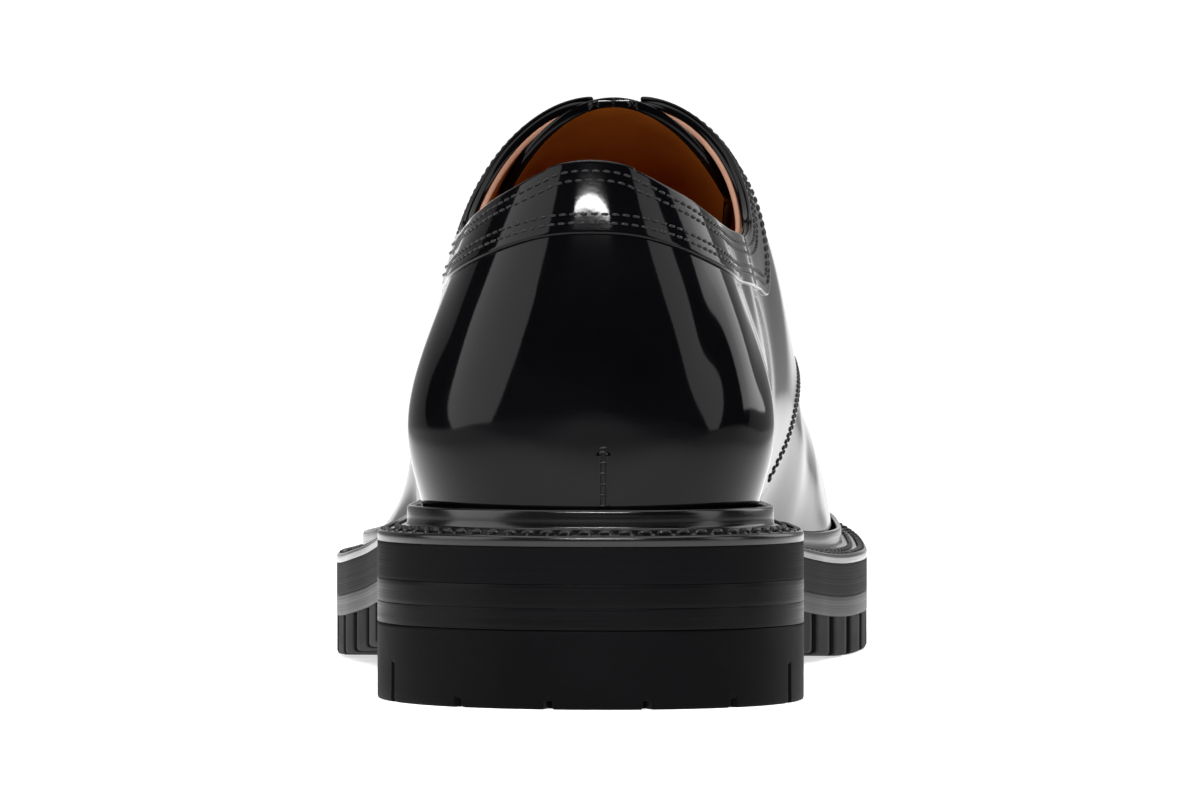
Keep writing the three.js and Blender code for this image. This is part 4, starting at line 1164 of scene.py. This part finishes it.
def welt_stitches():
    """Thick threads on the welt's top, lying in a channel and pulled down at each hole."""
    turns = WELT_TURNS
    plan = plan_line(turns, WELT_STITCH_INSET)
    ahead = plan_line(turns + 1e-4 * np.where(turns < 1.999, 1, -1), WELT_STITCH_INSET)
    along = unit(np.concatenate([ahead - plan, (seat(ahead[:, 1]) - seat(plan[:, 1]))[:, None]], -1))
    points = np.concatenate([plan, (seat(plan[:, 1]) - 0.55)[:, None]], -1)
    outward = np.cross(along, np.array([0, 0, 1.0]))
    normals = unit(np.cross(outward, along))
    return lay_threads(points, along, normals, 3.1, 0.6)

seam_piece("welt_stitches", [welt_stitches()])

def welt_ticks():
    """Short ridges across the welt's lip, pressed by a wheel between the stitches."""
    turns = WELT_TURNS + 0.5 / WELT_COUNT
    rim, inner = plan_line(turns, 0.45), plan_line(turns, 2.3)
    low = np.concatenate([rim, (seat(rim[:, 1]) - 1.0)[:, None]], -1)
    high = np.concatenate([inner, (seat(inner[:, 1]) - 0.85)[:, None]], -1)
    along = unit(high - low)
    normals = unit(np.cross(along, np.cross(np.array([0, 0, 1.0]), along)))
    return lay_threads((low + high) / 2, along, normals, 2.2, 0.42)

points, faces = welt_ticks()
make_piece("welt_ticks", points, faces, [WELT_EDGE], slot="edge_leather")

# %% Sock of the insole
def foot_line(turn, inset):
    """Plan of the foot's bed: the sole's plan drawn in, parted as deep as the upper."""
    return plan_line(turn, inset, SPLIT_PULL, SPLIT_WIDTH)

BED_INSET, BED_BOTTOM, BED_ROUND = 12.6, -2.6, 0.8

def bed_profile():
    """Flat below, a quarter circle at the edge, and a top that sinks towards the middle."""
    turn = np.linspace(0, np.pi / 2, 4)
    rows = [(BED_INSET, 0.0, BED_BOTTOM), (BED_INSET, 1.0, BED_BOTTOM)]
    rows += [(BED_INSET + BED_ROUND * (1 - np.cos(t)), 1.0, -1.0 + BED_ROUND * np.sin(t)) for t in turn]
    top = (1.0, 0.8, 0.6, 0.4, 0.2, 0.0)
    return rows + [(BED_INSET + 2.0, kept, -0.2 - 0.5 * (1 - kept)) for kept in top]

points, uv = ring(bed_profile(), seat, line=foot_line)
grid_piece("insole_sock", points, LINING, slot="lining", uv=uv, stands_for=("insole",))

# %% [markdown]
# ## Heel
# The heel is a waxed leather lift over a rubber block. The block's underside is cut by slots:
# two deep ones near the corners, four short notches at the back, and two pairs at the sides.
# Their depth is a height added to the underside, so one grid carries wall and slots.

# %% The heel's outline
HEEL_MIDDLE = np.array([-0.5, 2.0])
BREAST_T = 0.25 + 0.45 * BREAST / (TOE_EDGE - TOE_RUN)

def heel_line(position, inset):
    """Closed line: position 0 to 1 goes round the back, from breast to breast; 1 to 2 crosses."""
    inset = np.asarray(inset, float)
    stop = 0.25 + 0.45 * (BREAST - inset) / (TOE_EDGE - TOE_RUN)
    curve = plan_line(1 + stop * (2 * np.clip(position, 0, 1) - 1), inset)
    share_across = np.clip(position - 1, 0, 1)[..., None]
    first, last = plan_line(1 - stop, inset), plan_line(1 + stop, inset)
    straight = last * (1 - share_across) + first * share_across
    return np.where((position <= 1)[..., None], curve, straight)

fine = np.linspace(0, 1, 4001)
fine_line = plan_line(1 + BREAST_T * (2 * fine - 1), 0.0)
fine_run = run_along(fine_line)
print("length round the heel's back, mm:", round(fine_run[-1], 1))

def heel_position(run):
    """Position on the heel's line at a length round its back."""
    return np.interp(run, fine_run, fine)

def run_at_x(x):
    """Length round the heel's back where the outline passes an X."""
    back = fine_line[:, 1] < 0
    order = np.argsort(fine_line[back, 0])
    return np.interp(x, fine_line[back, 0][order], fine_run[back][order])

def run_at_y(y, side):
    """Length round the heel's back where one side passes a Y."""
    half = fine_line[:, 0] < 0 if side < 0 else fine_line[:, 0] > 0
    order = np.argsort(fine_line[half, 1])
    return np.interp(y, fine_line[half, 1][order], fine_run[half][order])

# %% Heel slots
SLOT_WIDTH, SLOT_DEPTH, NOTCH_DEPTH, NOTCH_LENGTH = 1.6, 7.0, 1.6, 4.0
SLOT_LENGTH, SLOT_MOUTH, HEEL_HOLLOW = 30.0, 0.35, 3.6
HEEL_CUTS = [(run_at_x(x), SLOT_WIDTH, SLOT_DEPTH, SLOT_LENGTH) for x in (-34.6, 36.6)]
NOTCHES_AT = (-21.9, -5.6, 12.0, 27.0)
HEEL_CUTS += [(run_at_x(x), SLOT_WIDTH, NOTCH_DEPTH, NOTCH_LENGTH) for x in NOTCHES_AT]
HEEL_CUTS += [
    (run_at_y(y, side), SLOT_WIDTH, SLOT_DEPTH, SLOT_LENGTH) for y in (5.4, 20.9) for side in (-1, 1)]
print("slots and notches:", len(HEEL_CUTS))

def cut_height(run, inset):
    """Height of the underside: a slot's depth inside it, a quarter circle at its mouth, 0 elsewhere."""
    height = np.zeros(np.broadcast(run, inset).shape)
    for at, wide, deep, long in HEEL_CUTS:
        away = np.abs(run - at) - wide / 2
        beside = SLOT_MOUTH - np.clip(away, 0, SLOT_MOUTH)
        mouth = SLOT_MOUTH - np.sqrt(np.clip(SLOT_MOUTH**2 - beside**2, 0, None))
        here = np.where(away < 0, deep, np.where(away < SLOT_MOUTH, mouth, 0.0))
        height = np.maximum(height, np.where(inset <= long, here, 0.0))
    return height

def heel_rows():
    """Even rows round the heel, with extra ones at each slot's walls and mouth."""
    offsets = np.array([-0.35, -0.25, -0.12, -0.03, -0.01, 0.01])
    extra = [at + side * (wide / 2 - offsets) for at, wide, _, _ in HEEL_CUTS for side in (-1, 1)]
    run = np.sort(np.concatenate([np.linspace(0, fine_run[-1], 260), *extra]))
    run = run[np.concatenate([[True], np.diff(run) > 0.005])]
    return run, np.concatenate([heel_position(run), np.linspace(1, 2, 24)[1:]])

# %% Heel block
HEEL_GAP = 0.03
TOP_INSETS, EDGE_INSETS, WALL_STEPS = [0.0, 0.5, 0.15, 0.0], [0.12, 0.45], 9
UNDER_INSETS = [1.2, 3.9, 4.1, 8, 12, 15.6, 16.0, 16.3, 16.3, 16.3]

def heel_block_grid():
    """Columns from the middle of the top down the wall and over the underside to its middle.
    The slots' height lifts the wall's foot and the underside, and the hollow lifts the middle."""
    run, positions = heel_rows()
    runs = np.concatenate([run, np.full(len(positions) - len(run), -100.0)])[:, None]
    top = HEEL_BLOCK - HEEL_GAP
    insets = np.concatenate([TOP_INSETS, np.zeros(WALL_STEPS), EDGE_INSETS, UNDER_INSETS])
    kept = np.ones(len(insets))
    kept[[0, -2, -1]] = 0.0, 0.5, 0.0
    heights = np.zeros((len(runs), len(insets))) + cut_height(runs, insets[None, :])
    heights[:, :4] = np.array([top, top, top - 0.12, top - 0.5])
    low = cut_height(runs, 0.0) + 0.45
    heights[:, 4:13] = low + (top - 0.6 - low) * np.linspace(1, 0, WALL_STEPS)
    heights[:, 13] += 0.12
    heights[:, 22:] = np.maximum(heights[:, 22:], HEEL_HOLLOW)
    plan = heel_line(positions[:, None], insets[None, :])
    plan = HEEL_MIDDLE + (plan - HEEL_MIDDLE) * kept[None, :, None]
    return np.concatenate([plan, heights[..., None]], -1)

grid_piece(
    "heel_rubber", heel_block_grid(), RUBBER, slot="sole_rubber", stands_for=("heel_block",))

# %% Heel lift
def heel_lift_grid():
    """The profile's heights are shares of the lift, whose top follows the plate above it."""
    around = heel_position(np.linspace(0, fine_run[-1], 300))
    positions = np.concatenate([around, np.linspace(1, 2, 24)[1:]])
    inset, kept, part = (np.array(values, float) for values in zip(*edge_wall(0.0, 1.0, 0.04, 6)))
    plan = heel_line(positions[:, None], inset[None, :])
    plan = HEEL_MIDDLE + (plan - HEEL_MIDDLE) * kept[None, :, None]
    height = (rise(plan[..., 1]) - HEEL_GAP - HEEL_BLOCK) * part
    points = np.concatenate([plan, (HEEL_BLOCK + height)[..., None]], -1)
    run = run_along(points[:, 8])[:, None]
    return points, np.stack(np.broadcast_arrays(run * MM, height * MM), -1)

points, uv = heel_lift_grid()
grid_piece(
    "heel_lift_leather", points, LIFT_EDGE, slot="edge_leather", uv=uv, stands_for=("heel_lift",))

# %% [markdown]
# ## Forefoot tread
# A ring of separate rubber lugs runs round the forefoot, with studs inside it. Each lug is a
# rounded box in the coordinates of the edge (length round it, inset from it, height), which the
# plan then bends. All lugs are computed at once from one box.

# %% A rounded box
def rounded_box(steps=7):
    """Six square grids on a cube from -1 to 1, crowded towards the edges; returns points and faces."""
    side = np.sin(np.linspace(-1, 1, steps) * np.pi / 2 * 0.98) / np.sin(np.pi / 2 * 0.98)
    p, q = np.meshgrid(side, side, indexing="ij")
    points, faces = [], []
    for axis in range(3):
        for sign in (-1, 1):
            grid = np.zeros((steps, steps, 3))
            grid[..., axis], grid[..., (axis + 1) % 3], grid[..., (axis + 2) % 3] = sign, p, q
            faces.append(grid_faces(steps, steps, start=len(faces) * steps * steps))
            points.append(grid.reshape(-1, 3))
    return np.concatenate(points), np.concatenate(faces)

BOX_POINTS, BOX_FACES = rounded_box()
print("points and faces of one block:", len(BOX_POINTS), len(BOX_FACES))

def soft_box(size, radius):
    """Cube points pushed onto a box with round edges: nearest inner point plus a unit step."""
    half = np.asarray(size, float)[..., None, :] / 2
    radius = np.minimum(radius, half.min(-1, keepdims=True) * 0.95)
    target = BOX_POINTS * half
    inner = np.clip(target, -(half - radius), half - radius)
    return inner + unit(target - inner + 1e-12 * BOX_POINTS) * radius

# %% Lugs and studs
LUG_BORDER, LUG_PITCH, LUG_ROUND, GROOVE, TREAD_WELL = 16.0, 15.5, 0.8, 2.6, 3.6
LUG_TALL, STUD_TALL = LUG_DEPTH + 1.5, LUG_DEPTH + 1.0
TREAD_START = place(0.415)
lug_turns = np.linspace(0, 2, 6001)
lug_line = plan_line(lug_turns, 0.0, 0.0, 1.0)
lug_run = run_along(lug_line)
outer_stop = np.interp(TREAD_START, lug_line[lug_turns < 1, 1][::-1], lug_run[lug_turns < 1][::-1])
inner_stop = np.interp(TREAD_START, lug_line[lug_turns > 1, 1], lug_run[lug_turns > 1])
grooves = np.arange(LUG_PITCH / 2, lug_run[-1], LUG_PITCH)
grooves = grooves[(grooves < outer_stop - LUG_PITCH / 2) | (grooves > inner_stop + LUG_PITCH / 2)]
signed = np.sort(np.where(grooves < outer_stop, grooves, grooves - lug_run[-1]))
bounds = np.concatenate([[inner_stop - lug_run[-1] - GROOVE / 2], signed, [outer_stop + GROOVE / 2]])
lug_from, lug_to = bounds[:-1] + GROOVE / 2, bounds[1:] - GROOVE / 2

def ground(y):
    """The ground under the tread: the plate's underside less the lugs' depth."""
    return rise(y) - LUG_DEPTH

def tread_blocks():
    """The ring of lugs: boxes in length, inset and height, bent by the sole's plan."""
    size = np.stack(np.broadcast_arrays(lug_to - lug_from, LUG_BORDER, LUG_TALL), -1)
    box = soft_box(size, LUG_ROUND)
    run = box[..., 0] + ((lug_from + lug_to) / 2)[:, None]
    inset = box[..., 1] + LUG_BORDER / 2 + 0.05
    turn = np.interp(np.mod(run, lug_run[-1]), lug_run, lug_turns)
    plan = plan_line(turn, inset)
    height = ground(plan[..., 1]) + box[..., 2] + LUG_TALL / 2
    return np.concatenate([plan, height[..., None]], -1)

def studs(pitch=23.0, arm=17.0, wide=6.0):
    """Crosses down the middle of the tread: two rounded bars turned by an eighth each way."""
    along = np.arange(TREAD_START + pitch / 2, TOE_EDGE - LUG_BORDER - arm / 2, pitch)
    box = soft_box(np.array([[arm, wide, STUD_TALL]]), LUG_ROUND)[0]
    found = []
    for turn in (np.pi / 4, -np.pi / 4):
        x = box[:, 0] * np.cos(turn) - box[:, 1] * np.sin(turn) + centre(along)[:, None]
        y = box[:, 0] * np.sin(turn) + box[:, 1] * np.cos(turn) + along[:, None]
        z = ground(y) + box[:, 2] + STUD_TALL / 2 + 0.05 * (turn > 0)
        found.append(np.stack([x, y, z], -1))
    return np.concatenate(found)

blocks = np.concatenate([tread_blocks(), studs()])
faces = many_faces(BOX_FACES, len(blocks), len(BOX_POINTS))
make_piece("tread_lugs", blocks, faces, [RUBBER], slot="sole_rubber")
print("lugs and studs:", len(blocks))

# %% Floor of the tread inside the ring of lugs
def well_line(turn, inset):
    """The plan inside the border, held in front of the tread's straight start."""
    plan = plan_line(turn, inset)
    plan[..., 1] = np.maximum(plan[..., 1], TREAD_START + 0.5)
    return plan

WELL_INSET, WELL_MIDDLE = LUG_BORDER - 1.0, np.array([-3.0, 165.0])
rows = [(WELL_INSET, kept, TREAD_WELL - LUG_DEPTH) for kept in (0.0, 0.5, 0.985, 1.0)]
rows += [(WELL_INSET, kept, 0.6) for kept in (1.0, 0.5, 0.0)]
points, uv = ring(rows, rise, middle=WELL_MIDDLE, line=well_line)
grid_piece("tread_floor", points, RUBBER, slot="sole_rubber", uv=uv)

# %% [markdown]
# ## Stage, lights and camera
# The photograph is a packshot: white paper, a large soft light on each side that leaves bright
# edges and a dark middle in the polished leather, and a small light high behind the camera that
# makes the short highlight on the collar. The camera stands behind the heel, low and far away.
# The sheet carries painted light: its glow and its colour are full where the camera looks and are
# painted dimmer beside and in front of that, so that the polished leather has something dark to reflect.

# %% Floor and backdrop
CAMERA_AT, VIEW_SIDE, VIEW_DOWN = (0.0546, -1.138, 0.067), 0.0464, 0.01143
PAPER_GLOW, SIDE_LIGHT, FRONT_LIGHT = 0.62, 0.36, 0.3

def paper_lines():
    """Places of the sheet's grid lines, in metres: closer together near the shoe."""
    side = np.sinh(np.linspace(-3.2, 3.2, 61)) / np.sinh(3.2) * 6
    flat = np.sinh(np.linspace(-2.6, 2.6, 61)) / np.sinh(2.6) * 3
    return side, flat

def paper_sweep():
    """A sheet that lies flat and then curves up behind: a quarter circle in side view."""
    side, flat = paper_lines()
    turn = np.linspace(0, np.pi / 2, 24)[1:]
    y = np.concatenate([flat, 3.0 + 1.5 * np.sin(turn), [4.5]])
    z = np.concatenate([np.zeros(len(flat)), 1.5 - 1.5 * np.cos(turn), [5.0]])
    return np.stack(np.broadcast_arrays(side[:, None], y[None, :], z[None, :]), -1)

def paper_light(points):
    """Painted light of the sheet, for its glow and its colour: full along the camera's view, painted
    dimmer to both sides and in front, as if the lamps didn't reach there."""
    x, y, _ = np.moveaxis(points, -1, 0)
    away = np.maximum(y - CAMERA_AT[1], 0.9)
    beside = np.abs(x - CAMERA_AT[0] + VIEW_SIDE * away) - 0.105 * away
    across = SIDE_LIGHT + (1 - SIDE_LIGHT) * (1 - smoothstep(beside, 0.0, 0.4))
    return across * (FRONT_LIGHT + (1 - FRONT_LIGHT) * smoothstep(y, -0.5, -0.2))

def paper_finish():
    """White paper with faint fibres; its glow and its colour are painted light, both scaled by the sheet's
    painted light.
    """
    plain = {"Roughness": 0.8, "Specular IOR Level": 0.1, "Emission Color": (1, 1, 1, 1)}
    finish, nodes, links, shader = new_finish("studio_paper", plain)
    place = coordinates(nodes, links)
    lit = nodes.new("ShaderNodeAttribute")
    lit.attribute_name = "light"
    glow = spread(nodes, links, lit.outputs["Fac"], 0.0, PAPER_GLOW, 0, 1)
    links.new(glow, shader.inputs["Emission Strength"])
    fibres = spread(nodes, links, noise(nodes, links, place, 3), 0.9, 0.92)
    shade = nodes.new("ShaderNodeMath")
    shade.operation = "MULTIPLY"
    links.new(fibres, shade.inputs[0])
    links.new(lit.outputs["Fac"], shade.inputs[1])
    links.new(shade.outputs[0], shader.inputs["Base Color"])
    return finish

mesh = bpy.data.meshes.new("paper")
grid = paper_sweep()
mesh.from_pydata(grid.reshape(-1, 3).tolist(), [], grid_faces(*grid.shape[:2]).tolist())
mesh.materials.append(paper_finish())
mesh.polygons.foreach_set("use_smooth", np.ones(len(mesh.polygons), bool))
# painted light: each point of the sheet gets its painted glow and painted shade here
lit = mesh.attributes.new("light", "FLOAT", "POINT")
lit.data.foreach_set("value", paper_light(grid).reshape(-1).astype(np.float32))
paper = bpy.data.objects.new("paper", mesh)
bpy.context.scene.collection.objects.link(paper)

# %% Lights
def softbox(name, place_at, look_at, size, power, shape="RECTANGLE"):
    """An area light aimed at a point; an ellipse fades out more gently in the leather."""
    data = bpy.data.lights.new(name, "AREA")
    data.shape, data.size, data.size_y = shape, size[0], size[1]
    data.energy = power
    light = bpy.data.objects.new(name, data)
    light.location = place_at
    light.rotation_euler = (Vector(look_at) - Vector(place_at)).to_track_quat("-Z", "Y").to_euler()
    bpy.context.scene.collection.objects.link(light)
    return light

for row in (
    ("overhead", (0, 0.2, 2.4), (0, 0.2, 0), (2.8, 2.8), 55),
    ("left_wall", (-2.1, -0.5, 0.9), (0, 0.0, 0.2), (2.4, 2.3), 34, "ELLIPSE"),
    ("right_wall", (2.1, -0.55, 0.9), (0, 0.0, 0.1), (1.1, 2.0), 12, "ELLIPSE"),
    ("right_bank", (2.3, 1.9, 1.3), (0, 0.05, 0.1), (1.8, 2.2), 26),
    ("collar_strip", (-0.03, -1.17, 0.77), (0, 0, 0.09), (0.8, 0.05), 14, "ELLIPSE"),
):
    print("lamp:", softbox(*row).name)

world = bpy.data.worlds.new("studio")
world.use_nodes = True
background = world.node_tree.nodes["Background"]
background.inputs["Color"].default_value = (1, 1, 1, 1)
background.inputs["Strength"].default_value = 0.012
bpy.context.scene.world = world
bpy.context.scene.view_settings.view_transform = "Standard"

# %% Camera
camera_data = bpy.data.cameras.new("camera")
camera_data.sensor_width, camera_data.lens = 36.0, 188.0
camera_data.clip_start, camera_data.clip_end = 0.05, 30.0
camera = bpy.data.objects.new("camera", camera_data)
camera.location = CAMERA_AT
view = Vector((-VIEW_SIDE, 1.0, -VIEW_DOWN))
camera.rotation_euler = view.to_track_quat("-Z", "Y").to_euler()
bpy.context.scene.collection.objects.link(camera)
bpy.context.scene.camera = camera
print("camera at", [round(v, 3) for v in camera.location])
